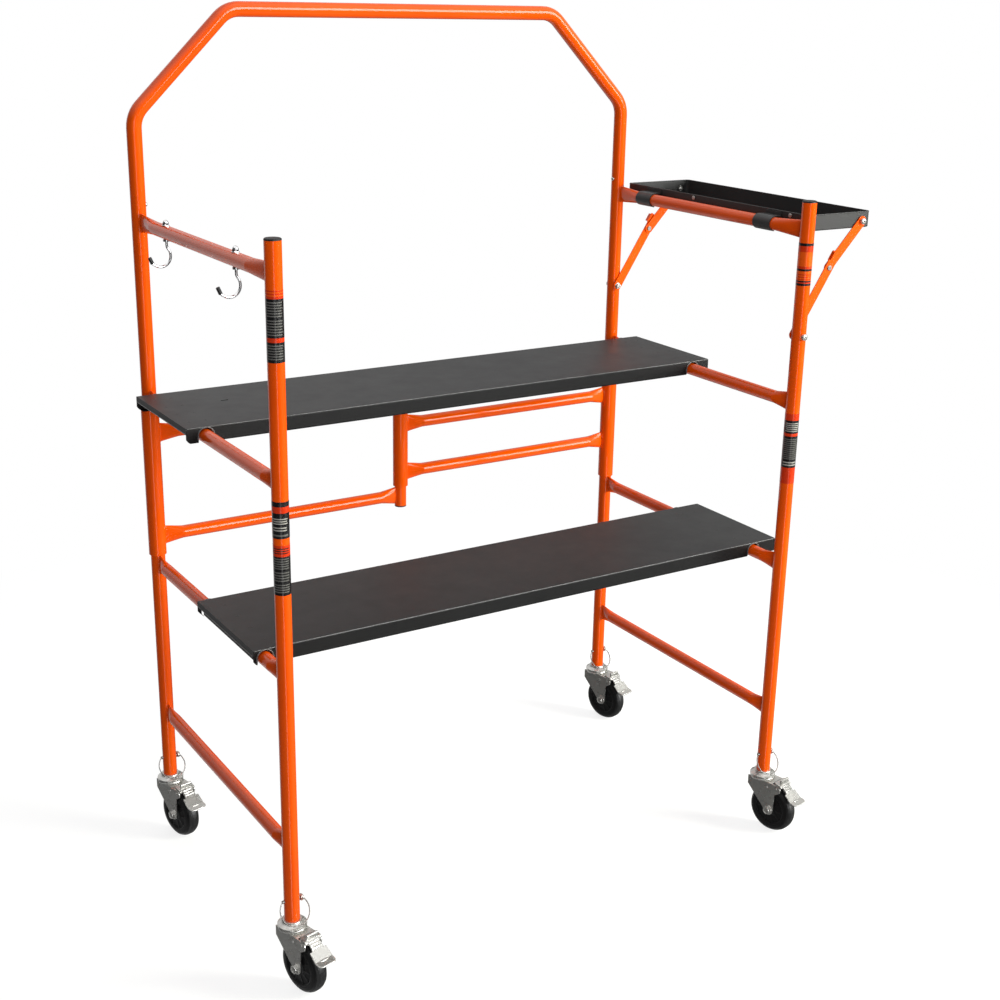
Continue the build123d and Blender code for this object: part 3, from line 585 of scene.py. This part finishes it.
# (radius, z) of the raised ring round a spot weld, mm
SPOT_WELD_PROFILE = [(2.0, 0.02), (2.5, 0.16), (3.2, 0.17), (3.8, 0.02), (3.8, -0.3), (2.0, -0.3)]


def notch_rims(tag, lo, hi):
    """Arches over the rungs at the deck's ends, with straight legs."""
    bag = Bag()
    for post_x in POST_XS:
        for y, sign in ((lo.y, -1), (hi.y, 1)):
            points = []
            for i in range(NOTCH_STEPS + 1):
                a = math.radians(-32) + math.radians(244) * i / NOTCH_STEPS
                on_leg = a < 0 or a > math.pi
                across = math.copysign(1, math.cos(a)) if on_leg else math.cos(a)
                points.append(Vector((post_x + NOTCH_RADIUS * across, y,
                                      hi.z - NOTCH_DROP + NOTCH_RADIUS * math.sin(a))))
            bag.add(rod(points, 1.35 * MM, 12, up=Y * sign, flat=1.35))
    bag.make(f"{tag}_deck_notch_rims", f"{tag}_deck", "charcoal_sheet", materials=[RUBBED_AND_HIGHLIGHT])


def deck_edges(tag, lo, hi):
    """Pressed line beside each long bend, its paler grey a painted highlight on the bend, and a
    hem along the turned ends.
    """
    bag = Bag()
    for y in (lo.y + 1.15 * MM, hi.y - 1.15 * MM):
        start = (lo.x + 3 * MM, y, hi.z - 1.15 * MM)
        bag.add(rod(straight(start, hi.x - lo.x - 6 * MM, 60), 0.85 * MM, 8))
    for x in (lo.x + 0.75 * MM, hi.x - 0.75 * MM):
        start = (x, lo.y + 4 * MM, hi.z - 11.0 * MM)
        bag.add(rod(straight(start, hi.y - lo.y - 8 * MM, 24, axis=1), 1.25 * MM, 10))
    bag.make(f"{tag}_deck_edge_beads", f"{tag}_deck", "charcoal_sheet", materials=[RUBBED_AND_HIGHLIGHT])


def spot_welds(tag, lo, hi):
    """Raised rings of the saddles' spot welds, four pairs at each side frame."""
    bag = Bag()
    ring = lathe(SPOT_WELD_PROFILE, 28)
    for post_x in POST_XS:
        for sign in (-1, 1):
            for k in range(4):
                y = lo.y + (0.16 + 0.225 * k) * (hi.y - lo.y)
                bag.add(ring, Matrix.Translation((post_x + sign * 16.0 * MM, y, hi.z)))
    bag.make(f"{tag}_deck_spot_welds", f"{tag}_deck", "charcoal_sheet")


for tag in ("upper", "lower"):
    lo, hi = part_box(f"{tag}_deck_panel")
    notch_rims(tag, lo, hi)
    deck_edges(tag, lo, hi)
    spot_welds(tag, lo, hi)


# ---------------------------------------------------------------- tray
TRAY_RIM_INSET = 0.75 * MM
TRAY_INNER_CORNER = 2.3 * MM  # the -X corners
TRAY_OUTER_CORNER = 8.3 * MM  # the +X corners


def tray_rim(lo, hi):
    """The folded top edge."""
    small, big = TRAY_INNER_CORNER, TRAY_OUTER_CORNER
    x0, x1 = lo.x + TRAY_RIM_INSET, hi.x - TRAY_RIM_INSET
    y0, y1 = lo.y + TRAY_RIM_INSET, hi.y - TRAY_RIM_INSET
    z = hi.z - 0.5 * MM
    # centre x, centre y, radius, first angle, steps
    corners = (
        (x1 - big, y1 - big, big, 0, 10),
        (x0 + small, y1 - small, small, 90, 6),
        (x0 + small, y0 + small, small, 180, 6),
        (x1 - big, y0 + big, big, 270, 10),
    )
    outline = []
    for x, y, radius, first, steps in corners:
        for i in range(steps + 1):
            a = math.radians(first + 90.0 * i / steps)
            outline.append(Vector((x + radius * math.cos(a), y + radius * math.sin(a), z)))
    points = []
    for here, following in zip(outline, outline[1:] + outline[:1]):
        pieces = max(1, int((following - here).length / (12 * MM)))
        points += [here.lerp(following, k / pieces) for k in range(pieces)]
    rim = swept(points, [Z] * len(points), 1.15 * MM, sides=12, flat=1.15)
    new_object("tool_tray_rolled_rim", rim, "tray", "black_satin_coat")


def tray_ribs(lo, hi):
    """Pressed stiffening ribs in the floor."""
    bag = Bag()
    for k in range(3):
        x = lo.x + (0.28 + 0.22 * k) * (hi.x - lo.x)
        bag.add(rounded_bar((x, (lo.y + hi.y) / 2, lo.z + 1.6 * MM),
                            (7 * MM, (hi.y - lo.y) - 84 * MM, 1.5 * MM), 0.7 * MM, 4))
    bag.make("tool_tray_floor_ribs", "tray", "black_satin_coat")


tray_lo, tray_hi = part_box("tool_tray")
tray_rim(tray_lo, tray_hi)
tray_ribs(tray_lo, tray_hi)


# ---------------------------------------------------------------- bolts and washers
def dome_head(radius, height, socket, depth):
    """Button head with a hexagonal socket, its base on z = 0; sizes in millimetres."""
    segs = 48
    sixth = math.radians(60)

    def ring(radius_at, z):
        angles = [2 * math.pi * i / segs for i in range(segs)]
        return [mm(radius_at(a) * math.cos(a), radius_at(a) * math.sin(a), z) for a in angles]

    def hexagon(a):
        return socket / math.cos(((a + sixth / 2) % sixth) - sixth / 2)

    profile = [(radius, 0.0), (radius, 0.25 * height)]
    for t in map(math.radians, (12, 24, 36, 48, 58)):
        profile.append((radius * math.cos(t), 0.25 * height + 0.75 * height * math.sin(t)))
    verts = []
    for r, z in profile:
        verts += ring(lambda a: r, z)
    top = profile[-1][1] + 0.05 * height
    verts += ring(hexagon, top) + ring(hexagon, top - depth)
    faces = []
    last = len(verts) - segs
    for low in range(0, last, segs):
        high = low + segs
        for i in range(segs):
            j = (i + 1) % segs
            faces.append((low + i, low + j, high + j, high + i))
    faces.append(tuple(range(segs))[::-1])
    faces.append(tuple(range(last, last + segs)))
    return verts, faces


def brace_tray_bolts():
    bag = Bag()
    head = dome_head(radius=6.4, height=3.0, socket=2.0, depth=1.6)
    x = POST["right_front"].x + 163 * MM
    for sign in (-1, 1):
        place = Matrix.Translation((x, MID_Y + sign * 298.5 * MM, 1308.4 * MM))
        bag.add(head, place @ facing_y(sign))
    bag.make("brace_tray_bolt_heads", "tray", "zinc_plate")


def brace_post_bolts():
    """Heads outside the right posts, washers inside them."""
    bag = Bag()
    head = dome_head(radius=6.6, height=3.2, socket=2.1, depth=1.7)
    ring = washer(bore=3.2, radius=7.2, base=0, top=1.0, chamfer=(0.4, 0.35))
    x, z = POST["right_front"].x, 1094 * MM
    for sign in (-1, 1):
        head_place = Matrix.Translation((x, MID_Y + sign * 329.9 * MM, z))
        ring_place = Matrix.Translation((x, MID_Y + sign * 295.4 * MM, z))
        bag.add(head, head_place @ facing_y(sign))
        bag.add(ring, ring_place @ facing_y(-sign))
    bag.make("brace_post_bolt_heads", "right_frame", "zinc_plate")


def hook_washers():
    """Washers under the acorn nuts on top of the left bar."""
    bag = Bag()
    ring = washer(bore=2.6, radius=7.0, base=0, top=0.9, chamfer=(0.4, 0.4))
    for y in mm(-160.0, 167.5):
        place = (POST["left_front"].x, y + MID_Y, TOP_BAR_Z + 12.35 * MM)
        bag.add(ring, Matrix.Translation(place))
    bag.make("hook_washers", "left_frame", "chrome_plate")


brace_tray_bolts()
brace_post_bolts()
hook_washers()


# ---------------------------------------------------------------- printed bands on the front posts
BAND_INNER = POST_RADIUS + 0.03 * MM
BAND_OUTER = POST_RADIUS + 0.16 * MM
BAND_STEPS = 72
BAND_SPAN = math.radians(326)
BAND_START = math.radians(-122) - BAND_SPAN / 2  # centred on the direction of the print
LINE_PITCH = 4.0  # mm
LINE_CUTS = (1.0, 0.97, 1.0, 0.92)  # widths of successive lines, for a ragged margin

# side, place, bottom z, then rows from the top down:
# (top z in mm, film colour[, colour of printed lines, half angle of the lines])
BANDS = [
    ("left", "upper", 1163, [
        (1279, RED), (1276.5, ORANGE), (1274.6, RED), (1271.8, ORANGE), (1269.8, RED),
        (1265.5, BLACK), (1262, BLACK, GREY, 62), (1236, BLACK), (1233, BLACK, GREY, 62),
        (1206, BLACK), (1203.1, RED), (1195.9, BLACK), (1193, BLACK, GREY, 62), (1167, BLACK)]),
    ("left", "middle", 866.6, [
        (930.5, BLACK), (922, RED), (911, BLACK), (903, BLACK, WHITE, 58), (891, BLACK),
        (888, BLACK, WHITE, 52), (879, BLACK), (876, BLACK, GREY, 62), (869, BLACK)]),
    ("left", "lower", 766, [
        (854.5, RED), (851, RED, BLACK, 64), (839, RED), (835, BLACK),
        (833, BLACK, GREY, 64), (812, BLACK), (809, BLACK, GREY, 64), (790, BLACK),
        (787, BLACK, GREY, 64), (770, BLACK)]),
    ("right", "upper", 1196, [
        (1279, BLACK), (1273.5, RED), (1262, ORANGE), (1234, RED), (1229, BLACK),
        (1224.5, ORANGE), (1220, ORANGE, RED, 66), (1206, BLACK), (1203, RED),
        (1200.5, BLACK)]),
    ("right", "lower", 790, [
        (937, RED), (923, BLACK), (919, BLACK, WHITE, 60), (899, BLACK), (896, RED),
        (890, BLACK), (886, BLACK, GREY, 62), (841, BLACK), (838, BLACK, WHITE, 60),
        (827, BLACK), (824, RED)]),
]


def band_strips(rows, bottom):
    """Heights in mm from the top, and (film, line, half angle) of each strip between them."""
    heights, strips = [rows[0][0]], []
    for row, end in zip(rows, [row[0] for row in rows[1:]] + [bottom]):
        top, film, line, half = (*row, None, 0)[:4]
        if line is None:
            heights.append(end)
            strips.append((film, None, 0))
            continue
        count = int((top - end) / LINE_PITCH)
        step = (top - end) / count
        for k in range(count):
            heights += [top - step * (k + part) for part in (0.28, 0.72, 1)]
            cut = half * LINE_CUTS[k % 4]
            strips += [(film, None, 0), (film, line, cut), (film, None, 0)]
    return heights, strips


def band(side, place, bottom, rows):
    """Film wrapped round a front post, open at the back."""
    post = POST[f"{side}_front"]
    heights, strips = band_strips(rows, bottom)
    count = len(heights)
    top_film, bottom_film = strips[0][0], strips[-1][0]
    verts, faces, prints = [], [], []
    for i in range(BAND_STEPS + 1):
        a = BAND_START + BAND_SPAN * i / BAND_STEPS
        for radius, levels in ((BAND_OUTER, heights), (BAND_INNER, (heights[0], heights[-1]))):
            verts += [(post.x + radius * math.cos(a), post.y + radius * math.sin(a), z * MM)
                      for z in levels]
    column = count + 2  # outer vertices, then inner top and inner bottom
    for i in range(BAND_STEPS):
        here, beyond = i * column, (i + 1) * column
        off = abs((i + 0.5) / BAND_STEPS - 0.5) * math.degrees(BAND_SPAN)
        for k, (film, line, half) in enumerate(strips):
            faces.append((here + k, beyond + k, beyond + k + 1, here + k + 1))
            prints.append(line if (line is not None and off < half) else film)
        for p, q, film in ((0, count, top_film), (count, count + 1, bottom_film),
                           (count + 1, count - 1, bottom_film)):
            faces.append((here + p, beyond + p, beyond + q, here + q))
            prints.append(film)
    for first in (0, BAND_STEPS * column):
        outer = tuple(first + k for k in range(count))
        faces.append(outer + (first + count + 1, first + count))
        prints.append(top_film)
    new_object(f"{side}_post_{place}_band", (verts, faces), f"{side}_frame",
               "orange_powder_coat", materials=PRINTS, face_materials=prints, sharp_angle=60)


for entry in BANDS:
    band(*entry)


# ---------------------------------------------------------------- casters
# Caster parts are laid out about the post's axis, the wheel trailing toward -Y.
CASTER_YAW = math.radians(14.0)
AXLE_Y, AXLE_Z = mm(-33.0, 52.0)
HUB = Matrix.Translation((0, AXLE_Y, AXLE_Z))

# (radius, z) of the turned parts, mm
WHEEL_RING_PROFILE = [
    (33.4, 12.2), (33.4, 13.9), (34.4, 14.7), (36.6, 14.9), (37.6, 14.3), (37.6, 12.2)]
PARTING_PROFILE = [(51.6, -0.7), (52.02, -0.25), (52.02, 0.25), (51.6, 0.7)]
NUT_COLLAR_PROFILE = [(6.0, 0), (6.0, 1.2), (6.5, 1.7), (7.2, 1.4), (7.6, 0)]
RIVET_PROFILE = [(0.25, 1.25), (1.4, 1.1), (2.3, 0.6), (2.6, 0.0), (2.6, -0.4), (0.25, -0.4)]
COLLAR_PROFILE = [
    (14.6, 128.4), (14.6, 132.6), (18.2, 132.6), (19.0, 131.6), (19.2, 129.6), (20.6, 128.4)]

# (y, z) down the pedal's plate, mm: its slope, then the toe
PEDAL_PROFILE = [(-57, 117.2), (-73, 101.5), (-88.0, 89.0), (-101.0, 86.2)]
TOE_RADIUS = 7.2
TOE_CORNER = (11.0, -94.5)  # centre of the rounded corner at +X, mm


def wheel_mouldings(corner, caster):
    """Spokes and rings on both sides, and the mould parting ridge round the tread."""
    bag = Bag()
    for sign in (-1, 1):
        for k in range(10):
            spoke = rounded_bar(mm(sign * 12.55, 23.2, 0), mm(2.3, 17.5, 3.4), 0.6 * MM, 2)
            bag.add(spoke, caster @ HUB @ Matrix.Rotation(2 * math.pi * k / 10, 4, "X"))
        bag.add(lathe(WHEEL_RING_PROFILE, 72), caster @ HUB @ facing_x(sign))
    bag.add(lathe(PARTING_PROFILE, 120), caster @ HUB @ facing_x(1))
    bag.make(f"{corner}_wheel_spokes", f"{corner}_wheel", "black_rubber")


def hub_bush(corner, caster):
    """Steel bush ends."""
    bag = Bag()
    ring = washer(bore=6.1, radius=9.2, base=15.0, top=16.9, chamfer=(0.6, 0.4), segs=48)
    for sign in (-1, 1):
        bag.add(ring, caster @ HUB @ facing_x(sign))
    bag.make(f"{corner}_hub_bush", f"{corner}_wheel", "zinc_plate")


def fork_hardware(corner, caster):
    """Axle nut collars, washers and side rivets."""
    bag = Bag()
    ring = washer(bore=8.2, radius=10.8, base=-0.1, top=1.1, chamfer=(0.4, 0.4), segs=48)
    for sign, collar_x in ((-1, 25.2 * MM), (1, 25.6 * MM)):
        cheek_x = sign * 20.0 * MM
        for part, place in (
                (lathe(NUT_COLLAR_PROFILE, 40), (sign * collar_x, AXLE_Y, AXLE_Z)),
                (ring, (cheek_x, AXLE_Y, AXLE_Z)),
                (lathe(RIVET_PROFILE, 28), (cheek_x, *mm(-27, 105)))):
            bag.add(part, caster @ Matrix.Translation(place) @ facing_x(sign))
    bag.make(f"{corner}_fork_hardware", f"{corner}_fork", "zinc_plate")


def toe_height(y):
    toe = PEDAL_PROFILE[3:1:-1] if y <= PEDAL_PROFILE[2][0] else PEDAL_PROFILE[2:0:-1]
    (y0, z0), (y1, z1) = toe
    return z0 + (z1 - z0) * (y - y0) / (y1 - y0)


def toe_edge():
    """Points of the rolled edge that follows the rounded toe."""
    x, y = TOE_CORNER
    side = -(x + TOE_RADIUS)
    outline = [(side, -80.0), (side, y)]
    for a in map(math.radians, range(15, 91, 15)):
        outline.append((-x - TOE_RADIUS * math.cos(a), y - TOE_RADIUS * math.sin(a)))
    outline += [(-x, y) for x, y in outline[::-1]]
    path = [Vector((*outline[0], 0))]
    for x, y in outline[1:]:
        here, following = path[-1], Vector((x, y, 0))
        steps = max(1, int((following - here).length / 2.0))
        path += [here.lerp(following, k / steps) for k in range(1, steps + 1)]
    return [Vector(mm(p.x, p.y, toe_height(p.y))) for p in path]


def pedal_pressings(corner, caster):
    bag = Bag()
    (top_y, top_z), (low_y, low_z) = PEDAL_PROFILE[:2]
    down = Vector((0, low_y - top_y, low_z - top_z)).normalized()
    up = Vector((0, down.z, -down.y))
    # grip ribs across the slope
    radii = tapered(1.85 * MM, 22, tip=0.35, pad=0.35, power=0.35)
    for k in range(3):
        rib = Vector(mm(0, top_y, top_z)) + down * ((4.6 + 5.6 * k) * MM) + up * 1.3 * MM
        points = straight((-11.4 * MM, rib.y, rib.z), 22.8 * MM, 22)
        bag.add(rod(points, radii, 12, up=up), caster)
    bag.add(rod(toe_edge(), 1.55 * MM, 12), caster)
    # long shallow crown pressed into the toe plate
    radii = tapered(2.6 * MM, 18, tip=0.4, pad=0.3, power=0.4)
    crown = straight(mm(-9.5, -89.5, 89.9), 19 * MM, 18)
    bag.add(rod(crown, radii, 14, flat=0.55), caster)
    # curled release tab
    bag.add(rod(straight(mm(-12.6, -56.4, 126.6), 25.2 * MM, 22), 2.3 * MM, 14), caster)
    bag.make(f"{corner}_pedal_pressings", f"{corner}_pedal", "zinc_plate")


def pin_coil_and_collar(corner):
    """Two-turn coil that ends the locking wire at the pin head, and a collar under the post."""
    bag = Bag()
    post = POST[corner]
    points, normals = [], []
    steps, radius = 64, 5.75 * MM
    for i in range(steps + 1):
        a = math.radians(-90) + 2 * math.pi * 2.0 * i / steps
        points.append(Vector((post.x + (15.9 + 4.6 * i / steps) * MM,
                              post.y + radius * math.cos(a),
                              171.0 * MM + radius * math.sin(a))))
        normals.append(Vector((0, math.cos(a), math.sin(a))))
    bag.add(swept(points, normals, 1.1 * MM, sides=10, loop=False))
    bag.add(lathe(COLLAR_PROFILE, 60), Matrix.Translation((post.x, post.y, 0)))
    side = corner.split("_")[0]
    bag.make(f"{corner}_pin_coil_and_collar", f"{side}_frame", "zinc_plate")


for corner, post in POST.items():
    caster = Matrix.Translation((post.x, post.y, 0)) @ Matrix.Rotation(CASTER_YAW, 4, "Z")
    wheel_mouldings(corner, caster)
    hub_bush(corner, caster)
    fork_hardware(corner, caster)
    pedal_pressings(corner, caster)
    pin_coil_and_collar(corner)

# ---------------------------------------------------------------- stage
scene = bpy.context.scene
CAMERA_YAW = 0.5627
TOWARD = (-math.sin(CAMERA_YAW), -math.cos(CAMERA_YAW), 0.0)  # level, toward the camera
RIGHTWARD = (math.cos(CAMERA_YAW), -math.sin(CAMERA_YAW), 0.0)  # the camera's right


def surroundings(tree, direction, flip):
    """Brightness of the studio in reflections: strips of light, a pale ceiling, a backdrop."""
    sign = -1.0 if flip else 1.0

    def along(axis):
        return tree.dot(direction, tuple(sign * part for part in axis))

    def away(value, middle):
        return tree.math("ABSOLUTE", tree.math("SUBTRACT", value, middle))

    turn = tree.math("ARCTAN2", along(RIGHTWARD), along(TOWARD))  # from the camera to its right
    height = along((0, 0, 1))

    def light(heading, core, fade, level):
        """Upright light: full within core degrees of its heading, gone at fade."""
        off = away(turn, math.radians(heading))
        return tree.remap(off, span=(math.radians(core), math.radians(fade)), to=(level, 0.0))

    below = tree.remap(height, span=(0.05, 0.30), to=(1.0, 0.0))
    strip = tree.times(light(heading=13.0, core=2.5, fade=7.5, level=3.0), below)
    wide = light(heading=88.0, core=14.0, fade=42.0, level=0.24)
    left = light(heading=-142.0, core=14.0, fade=40.0, level=0.75)
    window = tree.times(
        light(heading=66.0, core=14.0, fade=24.0, level=15.0),
        tree.remap(away(height, 0.21), span=(0.18, 0.25), to=(1.0, 0.0)))
    rear = tree.remap(tree.math("ABSOLUTE", turn), span=(math.radians(80.0), math.radians(130.0)))
    backdrop = tree.times(tree.times(rear, share=0.46), tree.remap(height, span=(0.04, 0.28)))
    backdrop = tree.times(
        backdrop, tree.remap(along(RIGHTWARD), span=(-0.17, 0.14), to=(0.60, 1.55)))
    ceiling = tree.times(tree.math("SUBTRACT", 1.0, rear),
                         tree.remap(height, span=(0.30, 0.80), to=(0.0, 1.45)))
    low = tree.remap(height, span=(-0.85, -0.45), to=(0.30, 0.04))
    total = tree.plus(tree.plus(strip, wide), tree.plus(tree.plus(left, low), ceiling))
    return tree.plus(total, tree.plus(window, backdrop))


def studio_paper():
    """Plain paper to diffuse light, near white to the camera, the studio to reflections."""
    paper = bpy.data.materials.new("studio_paper")
    paper.use_nodes = True
    tree = Tree(paper.node_tree)
    path = tree.node("LightPath")
    grey = tree.mix((0.30, 0.30, 0.30), rgb=(0.33, 0.33, 0.33),
                    amount=tree.noise(scale=1.2, detail=3.0))
    grain = tree.bump(tree.noise(scale=900.0), depth=0.05 * MM, strength=0.3)
    plain = tree.filled("BsdfDiffuse", {"Color": grey, "Normal": grain}).outputs[0]
    # the camera sees shadows near the casters, fading out to pure white
    seen = tree.filled("BsdfDiffuse", {"Color": (0.30, 0.30, 0.30)}).outputs[0]
    lit = tree.filled("AddShader", {0: seen, 1: tree.emission(strength=0.80)}).outputs[0]
    distance = tree.filled(
        "VectorMath", {0: tree.coords.outputs["Object"]}, operation="LENGTH").outputs["Value"]
    fade = tree.mix_shader(
        tree.remap(distance, span=(0.95, 2.1)), lit, tree.emission(strength=1.0))
    incoming = tree.node("NewGeometry").outputs["Incoming"]
    mirror = tree.emission(surroundings(tree, incoming, flip=True))
    bounced = tree.mix_shader(path.outputs["Is Glossy Ray"], plain, mirror)
    view = tree.mix_shader(path.outputs["Is Camera Ray"], bounced, fade)
    tree.filled("OutputMaterial", {0: view})
    # these settings exist only while Cycles is enabled
    if hasattr(paper, "cycles"):
        paper.cycles.emission_sampling = "NONE"
    return paper


def build_floor(radius=14, segs=96, z=-0.0004):
    mesh = bpy.data.meshes.new("studio_floor")
    angles = [2 * math.pi * i / segs for i in range(segs)]
    verts = [(radius * math.cos(a), radius * math.sin(a), z) for a in angles]
    mesh.from_pydata(verts, [], [tuple(range(segs))])
    mesh.materials.append(studio_paper())
    ob = bpy.data.objects.new("studio_floor", mesh)
    scene.collection.objects.link(ob)


def build_world():
    """White to the camera, the studio to reflections, a faint fill to the rest."""
    world = bpy.data.worlds.new("studio")
    scene.world = world
    world.use_nodes = True
    tree = Tree(world.node_tree)
    path = tree.node("LightPath")

    def background(rgb, strength):
        return tree.filled("Background", {0: rgb, 1: strength}).outputs[0]

    white = background(rgb=(1.0, 1.0, 1.0), strength=1.0)
    fill = background(rgb=(0.96, 0.98, 1.0), strength=0.17)
    studio = surroundings(tree, tree.coords.outputs["Generated"], flip=False)
    mirror = background(rgb=(1.0, 1.0, 1.0), strength=studio)
    bounced = tree.mix_shader(path.outputs["Is Glossy Ray"], fill, mirror)
    view = tree.mix_shader(path.outputs["Is Camera Ray"], bounced, white)
    tree.filled("OutputWorld", {0: view})
    # these settings exist only while Cycles is enabled
    if hasattr(world, "cycles"):
        world.cycles.sampling_method = "NONE"


def area(name, place, aim_z, size, power, color=(1, 1, 1)):
    """Rectangular light aimed at the scaffold's axis, unseen in reflections."""
    data = bpy.data.lights.new(name, "AREA")
    data.shape = "RECTANGLE"
    data.size, data.size_y = size
    data.energy = power
    data.color = color
    ob = bpy.data.objects.new(name, data)
    ob.location = place
    ob.rotation_mode = "QUATERNION"
    aim = Vector((0.0, 0.0, aim_z)) - Vector(place)
    ob.rotation_quaternion = aim.to_track_quat("-Z", "Y")
    scene.collection.objects.link(ob)
    ob.visible_glossy = False


def build_camera(pitch=-0.3217, roll=0.0197):
    data = bpy.data.cameras.new("camera")
    camera = bpy.data.objects.new("camera", data)
    scene.collection.objects.link(camera)
    scene.camera = camera
    forward = Vector((math.sin(CAMERA_YAW) * math.cos(pitch),
                      math.cos(CAMERA_YAW) * math.cos(pitch), math.sin(pitch)))
    level = Vector(RIGHTWARD)
    upright = level.cross(forward)
    right = level * math.cos(roll) + upright * math.sin(roll)
    up = -level * math.sin(roll) + upright * math.cos(roll)
    camera.rotation_mode = "QUATERNION"
    camera.rotation_quaternion = Matrix((right, up, -forward)).transposed().to_quaternion()
    camera.location = (-1.5811, -2.4523, 1.7198)
    data.sensor_width = 36.0
    data.lens = 54.27
    data.clip_start, data.clip_end = 0.05, 60.0


build_floor()
build_world()
area("key", place=(3.1, -2.7, 1.9), aim_z=0.75, size=(1.3, 3.0), power=330.0,
     color=(1.0, 1.03, 0.90))
area("front", place=(-1.3, -4.0, 1.6), aim_z=0.8, size=(2.2, 2.6), power=80.0)
area("top", place=(0.3, 0.6, 4.2), aim_z=0.8, size=(3.4, 2.6), power=46.0)
area("back", place=(1.4, 3.6, 2.6), aim_z=0.9, size=(2.2, 1.6), power=30.0)
build_camera()

scene.view_settings.view_transform = "Standard"
scene.view_settings.look = "None"
scene.view_settings.exposure = 0.0
